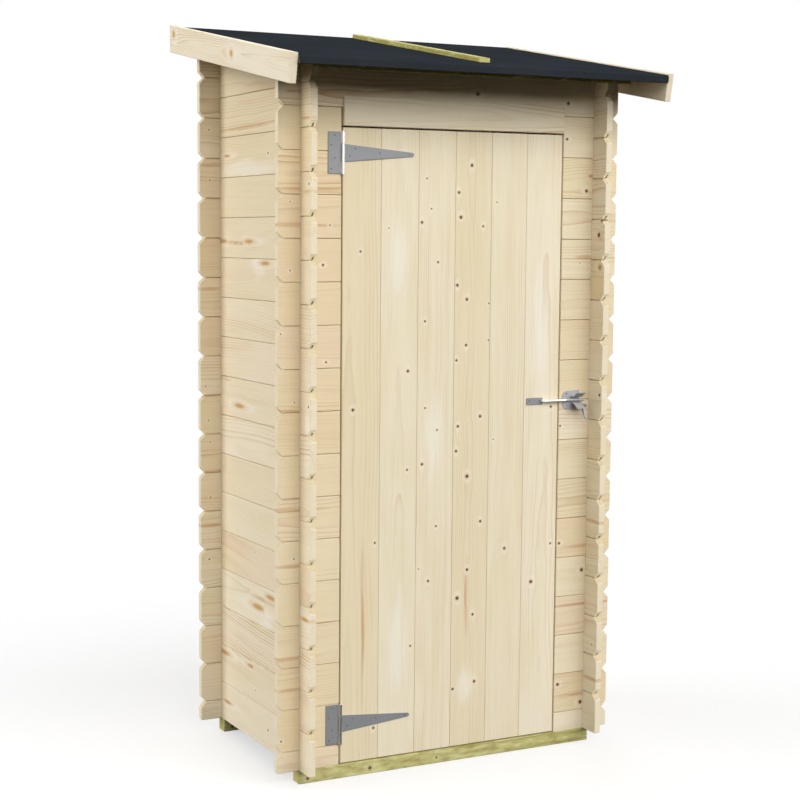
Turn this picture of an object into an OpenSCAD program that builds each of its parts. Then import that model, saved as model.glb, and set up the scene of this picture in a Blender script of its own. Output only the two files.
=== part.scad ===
// Pent garden shed of interlocking log boards, with one ledged door, a felt-covered
// roof that falls to the front, T-hinges and a gravity latch.
// Origin: on the ground, at the middle of the roof's plan. +Y is the back, +X the right.

/* [Walls] */
// Width of one log board, from joint to joint
board_pitch = 114; // [90:1:140]
// Thickness of the wall boards
wall_t = 19; // [16:1:28]
// Width over the outer faces of the side walls
wall_w = 934; // [850:1:1200]
// Depth over the outer faces of the front and back walls
wall_d = 563; // [500:1:900]
// How far the log ends cross past the corners
log_end = 64; // [40:1:80]
// Depth of the V cut into the log ends where two boards meet
notch_d = 14.5; // [8:0.5:18]
// Height of that V above and below the joint
notch_h = 15; // [8:0.5:20]
// Whole boards in the front wall, above its half board at the foot
front_rows = 16; // [14:1:18]

/* [Base] */
// Height and depth of the two bearers
bearer = 38; // [30:1:60]
// Thickness of the floor boards
floor_t = 16; // [16:1:22]

/* [Door] */
// Width of the doorway
door_open_w = 696; // [600:1:720]
// Gap round the door
door_gap = 4.5; // [3:0.5:6]
// Height of the door leaf
door_h = 1711; // [1500:0.5:1720]
// Width of the ledges across the door's back
ledge_w = 95; // [70:1:120]
// Width of the header board over the door
header_h = 77; // [70:1:90]

/* [Roof] */
// Overhang of the roof past the front wall
eave_front = 192; // [140:1:220]
// Overhang of the roof past the back wall
eave_back = 88; // [70:1:140]
// Half the width of the roof deck
deck_half = 561; // [540:1:640]
// Thickness of the deck boards
deck_t = 19; // [16:1:22]
// Thickness of the roofing felt
felt_t = 3; // [2:0.5:4]
// Width of the barge boards
barge_h = 76; // [60:1:100]
// Width of the roof battens
batten_w = 34; // [25:1:45]
// Thickness of the roof battens
batten_t = 12; // [10:1:20]

/* [Hinges] */
// Thickness of the hinge sheet
hinge_t = 2.5; // [2:0.5:4]
// Outside radius of the hinge knuckles
knuckle_r = 4.75; // [4:0.25:5]
// Radius of the hinge pins
pin_r = 2.5; // [2:0.25:3]
// Height of the middle of the upper hinge above the walls' foot
hinge_top_z = 1648; // [1500:1:1650]
// Height of the middle of the lower hinge above the walls' foot
hinge_low_z = 114; // [90:1:160]

/* [Latch] */
// Height of the latch bar above the walls' foot
latch_z = 969; // [800:1:1100]
// Radius of the latch bar
bar_r = 3.6; // [3:0.1:5]

/* [Hidden] */
$fn = 48;

// Corners of the plan
roof_d = eave_front + wall_d + eave_back;
front_y = eave_front - roof_d / 2;
back_y = front_y + wall_d;
side_x = wall_w / 2;
inner_x = side_x - wall_t;
base_z = bearer;

// Heights and slope: the front wall's top board keeps its tongue, and the back wall is
// a board higher, less what the slope takes off
front_head = 6.5;
front_h = (front_rows + 0.5) * board_pitch + front_head;
roof_rise = 105.5;
slope = roof_rise / wall_d;
slope_deg = atan(slope);
plumb = 1 / cos(slope_deg);

// Roof edges
deck_seat = 0.05;
deck_front_y = -roof_d / 2 + felt_t;
deck_back_y = roof_d / 2;
felt_side_gap = 2;
barge_t = 19;
barge_rise = 3.5;
barge_front_back = 1;
lath_x0 = 0;
lath_front_y = front_y - 113;
lath_back_y = deck_back_y - 24;
eaves_batten_y = front_y - 130;
eaves_batten_half = 479;

// Doorway and door
open_x = door_open_w / 2;
open_top = (front_rows - 0.5) * board_pitch;
door_x = open_x - door_gap;
door_foot = 3.5;
door_t = 19;
header_lip = 28.5;
header_proud = 8;
header_half = 344;
post_w = 30;
post_d = 19;
stop_w = 9;
stop_gap = 5;
ledge_t = 19;
ledge_half = 300;
ledge_low_z = hinge_low_z;
ledge_mid_z = 880;
ledge_top_z = hinge_top_z - 48;
brace_w = 70;

// Hinges: the pin stands in the middle of the gap beside the door
pin_x = -(door_x + open_x) / 2;
pin_y = front_y - knuckle_r;
plate_w = 42.5;
plate_h = 110;
strap_root = 47;
strap_len = 214;
strap_tip = 5.5;
knuckle_gap = 1;
pin_head_h = 1.5;
pin_head_r = 3.4;
run_gap = 0.05;

// Latch: a bar on the door lies between the jaws of a keeper on the wall
latch_t = 2;
bar_clear = 5;
bar_y = front_y - latch_t - bar_clear - bar_r;
bar_x0 = 287;
bar_x1 = 424;
striker_x0 = 236;
striker_x1 = 291;
striker_h = 20;
keeper_x0 = 357;
keeper_x1 = 414;
keeper_h = 53;
keeper_round = 18;
jaw_x0 = 386;
jaw_in = bar_r + bar_clear;
jaw_root = 16;
jaw_reach = 35;
jaw_flare = 12;
pivot_y = front_y - 14;
pivot_z = base_z + latch_z - 18;
pivot_r = 2;
cheek_t = 2;
cheek_reach = 20;
lever_t = 3;
lever_x0 = keeper_x1 + 1.5;
lever_hub_r = 5.5;
lever_nose = [-20, 4];
lever_tail = [-15, -33];

// Height of the deck's underside above the ground, at plan position y
function under(y) = base_z + front_h + slope * (y - front_y);

// Extrudes a profile drawn in (Y, Z) towards +X, from x0
module along_x(x0, w) {
    translate([x0, 0, 0])
        rotate([90, 0, 90])
            linear_extrude(w)
                children();
}

// Extrudes an outline drawn in (X, Z) out of a face at y, towards the front
module on_face(y, t) {
    translate([0, y, 0])
        rotate([90, 0, 0])
            linear_extrude(t)
                children();
}

// Points up the edge of a log end, with a V at each joint; out is the way it faces
function notches(edge, out, first_z, count) = [
    for (i = [0 : 1 : count - 1])
        each [
            [edge, first_z + i * board_pitch - notch_h],
            [edge - out * notch_d, first_z + i * board_pitch],
            [edge, first_z + i * board_pitch + notch_h]
        ]
];

// The same points taken in the other order
function turned(points) = [for (i = [len(points) - 1 : -1 : 0]) points[i]];

// Number of joints in a log end that starts with a whole board and ends at z1
function joints_below(z1) = floor((z1 - notch_h - base_z) / board_pitch);

// A wall piece that stands on the bearers and ends under the sloping deck
module wall_under_roof(x0, w, y0, d, z0) {
    along_x(x0, w)
        polygon([
            [y0, z0],
            [y0 + d, z0],
            [y0 + d, under(y0 + d)],
            [y0, under(y0)]
        ]);
}

// Outline of the front or back wall's log end past a side wall, in (X, Z). A cut foot or
// head is half of a V, where another piece carries on
module log_end_outline(side, foot, head, first_z, count, cut_foot, cut_head) {
    inner = side * side_x;
    outer = side * (side_x + log_end);
    cut = outer - side * notch_d;
    polygon(concat(
        [[inner, foot]],
        cut_foot ? [[cut, foot], [outer, foot + notch_h]] : [[outer, foot]],
        notches(outer, side, first_z, count),
        cut_head ? [[outer, head - notch_h], [cut, head]] : [[outer, head]],
        [[inner, head]]
    ));
}

// Log end that reaches up to the sloping deck
module log_end_under_roof(side, y0, foot, first_z, count, cut_foot) {
    x0 = side > 0 ? side_x : -side_x - log_end;
    intersection() {
        on_face(y0 + wall_t, wall_t)
            log_end_outline(side, foot, under(y0 + wall_t) + 1, first_z, count, cut_foot, false);
        wall_under_roof(x0, log_end, y0, wall_t, foot);
    }
}

module front_bearer() {
    color("darkkhaki")
        translate([-side_x, front_y, 0])
            cube([wall_w, bearer, bearer]);
}

module rear_bearer() {
    color("darkkhaki")
        translate([-side_x, back_y - bearer, 0])
            cube([wall_w, bearer, bearer]);
}

module floor_boards() {
    side_gap = 3;
    y0 = front_y + wall_t + stop_gap + 1;
    y1 = back_y - wall_t - side_gap;
    color("burlywood")
        translate([-inner_x + side_gap, y0, base_z])
            cube([2 * (inner_x - side_gap), y1 - y0, floor_t]);
}

module side_wall(x0) {
    y0 = front_y - log_end;
    y1 = back_y + log_end;
    first_z = base_z + board_pitch;
    color("wheat")
        along_x(x0, wall_t)
            polygon(concat(
                [[y1, base_z]],
                notches(y1, 1, first_z, joints_below(under(y1))),
                [[y1, under(y1)], [y0, under(y0)]],
                turned(notches(y0, -1, first_z, joints_below(under(y0)))),
                [[y0, base_z]]
            ));
}

module left_wall() {
    side_wall(-side_x);
}

module right_wall() {
    side_wall(inner_x);
}

module back_wall() {
    y0 = back_y - wall_t;
    first_z = base_z + board_pitch / 2;
    color("wheat") {
        wall_under_roof(-inner_x, 2 * inner_x, y0, wall_t, base_z);
        for (side = [-1, 1])
            log_end_under_roof(side, y0, base_z, first_z, front_rows + 1, false);
    }
}

// The wall beside the doorway, with the log ends outside its corner
module front_wall_side(side) {
    x0 = side > 0 ? open_x : -inner_x;
    first_z = base_z + board_pitch / 2;
    color("wheat") {
        translate([x0, front_y, base_z])
            cube([inner_x - open_x, wall_t, open_top]);
        on_face(front_y + wall_t, wall_t)
            log_end_outline(side, base_z, base_z + open_top, first_z, front_rows - 1, false, true);
    }
}

module front_wall_left() {
    front_wall_side(-1);
}

module front_wall_right() {
    front_wall_side(1);
}

// The full-width board over the doorway
module front_wall_top() {
    z0 = base_z + open_top;
    color("wheat") {
        wall_under_roof(-inner_x, 2 * inner_x, front_y, wall_t, z0);
        for (side = [-1, 1])
            log_end_under_roof(side, front_y, z0, z0, 0, true);
    }
}

// Post behind the wall's cut ends, with a lip that the door closes against
module door_post(side) {
    z0 = base_z + floor_t;
    y0 = front_y + wall_t;
    color("wheat")
        translate([0, 0, z0])
            linear_extrude(base_z + open_top - z0)
                polygon([
                    [side * (open_x + post_w), y0],
                    [side * (open_x + post_w), y0 + post_d],
                    [side * (open_x - stop_w), y0 + post_d],
                    [side * (open_x - stop_w), y0 + stop_gap],
                    [side * open_x, y0 + stop_gap],
                    [side * open_x, y0]
                ]);
}

module left_door_post() {
    door_post(-1);
}

module right_door_post() {
    door_post(1);
}

// Rebated board: its back fills the doorway's head and its lip laps the board above
module door_header() {
    z1 = base_z + open_top + header_lip;
    z0 = z1 - header_h;
    step_z = base_z + open_top;
    color("wheat")
        along_x(-header_half, 2 * header_half)
            polygon([
                [front_y - header_proud, z0],
                [front_y + wall_t - header_proud, z0],
                [front_y + wall_t - header_proud, step_z],
                [front_y, step_z],
                [front_y, z1],
                [front_y - header_proud, z1]
            ]);
}

// A sheet that follows the roof, lying a plumb height above the deck's underside
module on_slope(x0, w, y0, y1, lift, t) {
    along_x(x0, w)
        polygon([
            [y0, under(y0) + lift * plumb],
            [y1, under(y1) + lift * plumb],
            [y1, under(y1) + (lift + t) * plumb],
            [y0, under(y0) + (lift + t) * plumb]
        ]);
}

module roof_deck() {
    color("burlywood")
        on_slope(-deck_half, 2 * deck_half, deck_front_y, deck_back_y, deck_seat, deck_t - deck_seat);
}

// The felt lies on the deck and is turned down over its front edge
module roof_felt() {
    half = deck_half - felt_side_gap;
    y0 = deck_front_y - felt_t;
    color("darkslategray")
        union() {
            on_slope(-half, 2 * half, deck_front_y, deck_back_y, deck_t, felt_t);
            along_x(-half, 2 * half)
                polygon([
                    [y0, under(deck_front_y)],
                    [deck_front_y, under(deck_front_y)],
                    [deck_front_y, under(deck_front_y) + (deck_t + felt_t) * plumb],
                    [y0, under(y0) + (deck_t + felt_t) * plumb]
                ]);
        }
}

// Board on edge along the side of the deck, square at the front and plumb at the back
module barge_board(x0) {
    y0 = deck_front_y + barge_front_back;
    top = (deck_t + felt_t + barge_rise) * plumb;
    tall = barge_h * plumb;
    foot_y = y0 + barge_h * sin(slope_deg);
    color("wheat")
        along_x(x0, barge_t)
            polygon([
                [y0, under(y0) + top],
                [foot_y, under(foot_y) + top - tall],
                [deck_back_y, under(deck_back_y) + top - tall],
                [deck_back_y, under(deck_back_y) + top]
            ]);
}

module left_barge_board() {
    barge_board(-deck_half - barge_t);
}

module right_barge_board() {
    barge_board(deck_half);
}

// Treated batten under the deck, in front of the wall
module eaves_batten() {
    color("darkkhaki")
        on_slope(-eaves_batten_half, 2 * eaves_batten_half,
            eaves_batten_y, eaves_batten_y + batten_w, -batten_t, batten_t);
}

// Treated lath up the slope, over the felt's lap
module roof_lath() {
    color("darkkhaki")
        on_slope(lath_x0, batten_w, lath_front_y, lath_back_y, deck_t + felt_t, batten_t);
}

module door_boards() {
    color("wheat")
        translate([-door_x, front_y, base_z + door_foot])
            cube([2 * door_x, door_t, door_h]);
}

module door_ledge(z) {
    color("wheat")
        translate([-ledge_half, front_y + door_t, base_z + z - ledge_w / 2])
            cube([2 * ledge_half, ledge_t, ledge_w]);
}

module door_ledge_top() {
    door_ledge(ledge_top_z);
}

module door_ledge_middle() {
    door_ledge(ledge_mid_z);
}

module door_ledge_bottom() {
    door_ledge(ledge_low_z);
}

// Brace that rises from the hinge side between two ledges
module door_brace(z_low, z_high) {
    z0 = base_z + z_low + ledge_w / 2;
    z1 = base_z + z_high - ledge_w / 2;
    x0 = -ledge_half + 10;
    x1 = ledge_half - 10 - brace_w;
    color("wheat")
        on_face(front_y + door_t + ledge_t, ledge_t)
            polygon([
                [x0, z0],
                [x0 + brace_w, z0],
                [x1 + brace_w, z1],
                [x1, z1]
            ]);
}

module door_brace_upper() {
    door_brace(ledge_mid_z, ledge_top_z);
}

module door_brace_lower() {
    door_brace(ledge_low_z, ledge_mid_z);
}

// One knuckle round the hinge pin, from z0 up
module knuckle(z0, h, bore_r) {
    translate([pin_x, pin_y, z0])
        difference() {
            cylinder(r = knuckle_r, h = h);
            translate([0, 0, -1])
                cylinder(r = bore_r, h = h + 2);
        }
}

// Wall plate of a T-hinge, with a knuckle above and below the strap's
module hinge_plate(z) {
    mid = base_z + z;
    arm = (plate_h - strap_root) / 2 - knuckle_gap;
    sheet_x1 = pin_x - pin_r - 0.5;
    color("silver")
        union() {
            on_face(front_y, hinge_t)
                translate([pin_x - plate_w, mid - plate_h / 2])
                    square([plate_w + sheet_x1 - pin_x - 2, plate_h]);
            for (z0 = [mid - plate_h / 2, mid + plate_h / 2 - arm]) {
                knuckle(z0, arm, pin_r);
                on_face(front_y, hinge_t)
                    translate([pin_x - 8, z0])
                        square([sheet_x1 - pin_x + 8, arm]);
            }
        }
}

module top_hinge_plate() {
    hinge_plate(hinge_top_z);
}

module bottom_hinge_plate() {
    hinge_plate(hinge_low_z);
}

module hinge_pin(z) {
    z0 = base_z + z - plate_h / 2;
    color("gainsboro")
        translate([pin_x, pin_y, z0])
            union() {
                cylinder(r = pin_r, h = plate_h);
                translate([0, 0, plate_h])
                    cylinder(r = pin_head_r, h = pin_head_h);
                translate([0, 0, -pin_head_h])
                    cylinder(r = pin_head_r, h = pin_head_h);
            }
}

module top_hinge_pin() {
    hinge_pin(hinge_top_z);
}

module bottom_hinge_pin() {
    hinge_pin(hinge_low_z);
}

// Tapered strap on the door, with a round tip
module hinge_strap(z) {
    mid = base_z + z;
    root_x = pin_x + pin_r + 0.5;
    tip_x = pin_x + strap_len - strap_tip;
    color("silver")
        union() {
            knuckle(mid - strap_root / 2, strap_root, pin_r + run_gap);
            on_face(front_y, hinge_t)
                union() {
                    polygon([
                        [root_x, mid - strap_root / 2],
                        [tip_x, mid - strap_tip],
                        [tip_x, mid + strap_tip],
                        [root_x, mid + strap_root / 2]
                    ]);
                    translate([tip_x, mid])
                        circle(r = strap_tip);
                }
        }
}

module top_hinge_strap() {
    hinge_strap(hinge_top_z);
}

module bottom_hinge_strap() {
    hinge_strap(hinge_low_z);
}

// Plate on the door and the round bar that is bent out of it
module latch_striker() {
    mid = base_z + latch_z;
    color("silver")
        union() {
            on_face(front_y, latch_t)
                translate([striker_x0, mid - striker_h / 2])
                    square([striker_x1 - striker_x0, striker_h]);
            translate([bar_x0, front_y - latch_t / 2, mid])
                rotate([90, 0, 0])
                    cylinder(r = bar_r, h = front_y - latch_t / 2 - bar_y);
            translate([bar_x0, bar_y, mid])
                sphere(r = bar_r);
            translate([bar_x0, bar_y, mid])
                rotate([0, 90, 0])
                    cylinder(r = bar_r, h = bar_x1 - bar_x0);
        }
}

// Jaw of the keeper: level beside the bar, then flared; up is 1 or -1
module keeper_jaw(up) {
    mid = base_z + latch_z;
    along_x(jaw_x0, keeper_x1 - jaw_x0)
        polygon([
            [front_y - latch_t / 2, mid + up * jaw_in],
            [front_y - jaw_root, mid + up * jaw_in],
            [front_y - jaw_reach, mid + up * (jaw_in + jaw_flare)],
            [front_y - jaw_reach, mid + up * (jaw_in + jaw_flare + 2.4)],
            [front_y - jaw_root, mid + up * (jaw_in + latch_t)],
            [front_y - latch_t / 2, mid + up * (jaw_in + latch_t)]
        ]);
}

module latch_keeper() {
    mid = base_z + latch_z;
    color("silver")
        difference() {
            union() {
                on_face(front_y, latch_t) {
                    translate([keeper_x0 + keeper_round, mid - keeper_h / 2])
                        square([keeper_x1 - keeper_x0 - keeper_round, keeper_h]);
                    translate([keeper_x0, mid - keeper_h / 2 + keeper_round])
                        square([keeper_round, keeper_h - 2 * keeper_round]);
                    for (up = [-1, 1])
                        translate([keeper_x0 + keeper_round, mid + up * (keeper_h / 2 - keeper_round)])
                            circle(r = keeper_round);
                }
                keeper_jaw(1);
                keeper_jaw(-1);
                translate([keeper_x1 - cheek_t, front_y - cheek_reach, mid - keeper_h / 2])
                    cube([cheek_t, cheek_reach, keeper_h / 2 - jaw_in]);
            }
            translate([keeper_x1 - cheek_t - 1, pivot_y, pivot_z])
                rotate([0, 90, 0])
                    cylinder(r = pivot_r, h = cheek_t + 2);
        }
}

// Rivet that carries the lever on the keeper's cheek
module latch_pivot() {
    x0 = keeper_x1 - cheek_t;
    length = lever_x0 + lever_t + 1 - x0;
    color("gainsboro")
        translate([x0, pivot_y, pivot_z])
            rotate([0, 90, 0])
                union() {
                    cylinder(r = pivot_r, h = length);
                    translate([0, 0, length])
                        cylinder(r = pivot_r + 1.6, h = 1.5);
                }
}

// One arm of the lever, a round-ended bar from the hub to a point in the (Y, Z) plane
module lever_arm(end, root_r, end_r) {
    hull() {
        circle(r = root_r, $fn = 32);
        translate(end)
            circle(r = end_r, $fn = 32);
    }
}

// Flat lever: a nose that rises in front of the bar and a tail that hangs to the front
module latch_lever() {
    color("silver")
        translate([lever_x0, pivot_y, pivot_z])
            rotate([90, 0, 90])
                difference() {
                    linear_extrude(lever_t)
                        union() {
                            lever_arm(lever_nose, lever_hub_r, 3);
                            lever_arm(lever_tail, lever_hub_r, 3.4);
                        }
                    translate([0, 0, -1])
                        cylinder(r = pivot_r + run_gap, h = lever_t + 2);
                }
}

front_bearer();
rear_bearer();
floor_boards();
left_wall();
right_wall();
back_wall();
front_wall_left();
front_wall_right();
front_wall_top();
left_door_post();
right_door_post();
door_header();
roof_deck();
roof_felt();
left_barge_board();
right_barge_board();
eaves_batten();
roof_lath();
door_boards();
door_ledge_top();
door_ledge_middle();
door_ledge_bottom();
door_brace_upper();
door_brace_lower();
top_hinge_plate();
bottom_hinge_plate();
top_hinge_pin();
bottom_hinge_pin();
top_hinge_strap();
bottom_hinge_strap();
latch_striker();
latch_keeper();
latch_pivot();
latch_lever();
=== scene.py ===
"""Looks of the pent garden shed: its log boards, door, roof, treated timber and ironwork."""

import math
import random

import bmesh
import bpy
from mathutils import Matrix, Vector


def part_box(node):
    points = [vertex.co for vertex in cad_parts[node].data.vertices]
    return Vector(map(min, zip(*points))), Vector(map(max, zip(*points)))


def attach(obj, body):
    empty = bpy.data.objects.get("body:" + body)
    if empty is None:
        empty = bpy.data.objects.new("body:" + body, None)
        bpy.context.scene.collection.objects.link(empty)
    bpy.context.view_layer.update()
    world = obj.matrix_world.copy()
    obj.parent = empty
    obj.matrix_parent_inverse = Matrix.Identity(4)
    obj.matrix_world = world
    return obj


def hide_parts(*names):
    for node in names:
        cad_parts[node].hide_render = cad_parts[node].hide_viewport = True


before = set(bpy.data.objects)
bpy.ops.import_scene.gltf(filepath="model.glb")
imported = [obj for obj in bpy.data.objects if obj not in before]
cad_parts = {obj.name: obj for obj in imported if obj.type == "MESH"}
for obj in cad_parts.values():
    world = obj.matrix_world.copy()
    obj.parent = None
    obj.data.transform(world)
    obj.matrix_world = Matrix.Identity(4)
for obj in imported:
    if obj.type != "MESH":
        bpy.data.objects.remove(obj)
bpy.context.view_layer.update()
MM = 0.001

# ---------------------------------------------------------------------------
# Main sizes of the shed, in millimetres, read from the construction
# ---------------------------------------------------------------------------


def box_mm(node):
    """Lowest and highest corner of a construction piece, in millimetres."""
    lo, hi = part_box(node)
    return lo / MM, hi / MM


side_lo, side_hi = box_mm("left_wall")
back_lo, back_hi = box_mm("back_wall")
front_lo, front_hi = box_mm("front_wall_left")
top_lo, top_hi = box_mm("front_wall_top")

BASE_Z = side_lo.z
FRONT_Y = front_lo.y
BACK_Y = back_hi.y
WALL_T = side_hi.x - side_lo.x
SIDE_X = -side_lo.x
INNER_X = -side_hi.x
# The crossed boards reach LOG_END past the walls, and the doorway's cut ends stand at OPEN_X
LOG_X = -back_lo.x
LOG_END = LOG_X - SIDE_X
OPEN_X = -front_hi.x
# Cover of one log board, and the rise of the roof
PITCH = 114.0
SLOPE = (back_hi.z - top_hi.z) / (BACK_Y - top_hi.y)
PLUMB = math.hypot(1.0, SLOPE)
# Notch between two board ends: how far it reaches in along the board, and how high it bites into each
NOTCH_D = 14.5
NOTCH_H = 15.0
DECK_T = 19.0
FELT_T = 3.0


def under(y):
    """Height of the deck's underside at plan position y."""
    return back_hi.z + SLOPE * (y - BACK_Y)


# ---------------------------------------------------------------------------
# Shader helpers
# ---------------------------------------------------------------------------


def tone(red, green, blue):
    """Linear colour of a finish that is named by its 0 to 255 display values."""

    def lin(c):
        c /= 255.0
        return c / 12.92 if c <= 0.04045 else ((c + 0.055) / 1.055) ** 2.4

    return (lin(red), lin(green), lin(blue), 1.0)


class Net:
    """A node tree that is wired by short calls."""

    def __init__(self, tree):
        self.tree = tree

    def add(self, kind, inputs=None, **props):
        n = self.tree.nodes.new(kind)
        for key, value in props.items():
            setattr(n, key, value)
        for key, value in (inputs or {}).items():
            self.put(n.inputs[key], value)
        return n

    def put(self, socket, value):
        """Links another node's output to a socket, or sets the socket to a plain value."""
        if isinstance(value, bpy.types.NodeSocket):
            self.tree.links.new(value, socket)
        elif value is not None:
            socket.default_value = value

    def math(self, op, a, b=None, c=None, clamp=False):
        n = self.add("ShaderNodeMath", operation=op, use_clamp=clamp)
        for i, v in enumerate((a, b, c)):
            if v is not None:
                self.put(n.inputs[i], v)
        return n.outputs[0]

    def step(self, value, lo, hi, out_lo=0.0, out_hi=1.0):
        """Smooth step of value from lo to hi."""
        n = self.add("ShaderNodeMapRange", interpolation_type="SMOOTHSTEP")
        labels = ("Value", "From Min", "From Max", "To Min", "To Max")
        for key, v in zip(labels, (value, lo, hi, out_lo, out_hi)):
            self.put(n.inputs[key], v)
        return n.outputs[0]

    def mix(self, factor, a, b, blend="MIX"):
        n = self.add("ShaderNodeMix", data_type="RGBA", blend_type=blend)
        for i, v in ((0, factor), (6, a), (7, b)):
            self.put(n.inputs[i], v)
        return n.outputs[2]

    def split(self, vector):
        return self.add("ShaderNodeSeparateXYZ", {0: vector}).outputs[:3]

    def join(self, x, y, z):
        return self.add("ShaderNodeCombineXYZ", {0: x, 1: y, 2: z}).outputs[0]

    def grey(self, value):
        return self.join(value, value, value)

    def noise(self, vector, scale=1.0, detail=2.0, rough=0.5):
        given = {"Vector": vector, "Scale": scale, "Detail": detail, "Roughness": rough}
        return self.add("ShaderNodeTexNoise", given).outputs["Fac"]

    def place(self):
        """Place on the object, in its own metres."""
        return self.add("ShaderNodeTexCoord").outputs["Object"]

    def attribute(self, name):
        return self.add("ShaderNodeAttribute", attribute_type="GEOMETRY", attribute_name=name)

    def bump(self, shader, strength, distance, height):
        n = self.add("ShaderNodeBump", {"Strength": strength, "Distance": distance, "Height": height})
        self.put(shader.inputs["Normal"], n.outputs[0])


FLOAT, VECTOR = "NodeSocketFloat", "NodeSocketVector"


def new_group(name, inputs, outputs):
    """A shader group with its net and its given and put-out sockets."""
    tree = bpy.data.node_groups.new(name, "ShaderNodeTree")
    for label, kind, value in inputs:
        s = tree.interface.new_socket(label, in_out="INPUT", socket_type=kind)
        if value is not None:
            s.default_value = value
    for label in outputs:
        tree.interface.new_socket(label, in_out="OUTPUT", socket_type=FLOAT)
    net = Net(tree)
    return tree, net, net.add("NodeGroupInput").outputs, net.add("NodeGroupOutput").inputs


def new_material(name):
    """A material with its net and its own shader."""
    mat = bpy.data.materials.new(name)
    mat.use_nodes = True
    return mat, Net(mat.node_tree), mat.node_tree.nodes["Principled BSDF"]


# ---------------------------------------------------------------------------
# Timber finishes
# ---------------------------------------------------------------------------

# Slow drift and quick ripple of the year rings, in metres
DRIFT = 0.034
RIPPLE = 0.0040
# The grain bends round a knot within this many of its radii, and the bend dies out along the board
KNOT_REACH = 2.0
BEND_NEAR, BEND_FAR = 0.035, 0.085
# An amber knot is drawn out along the grain; a knot larger than this is amber too
AMBER_STRETCH = 0.80
AMBER_FROM, AMBER_TO = 0.0070, 0.0085
# A knot with a smaller radius than this is none
KNOT_FROM = 0.0004
# Half the width of a pale patch and of a streak of heartwood
PALE_HALF = 0.042
STREAK_HALF = 0.0075


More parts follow.
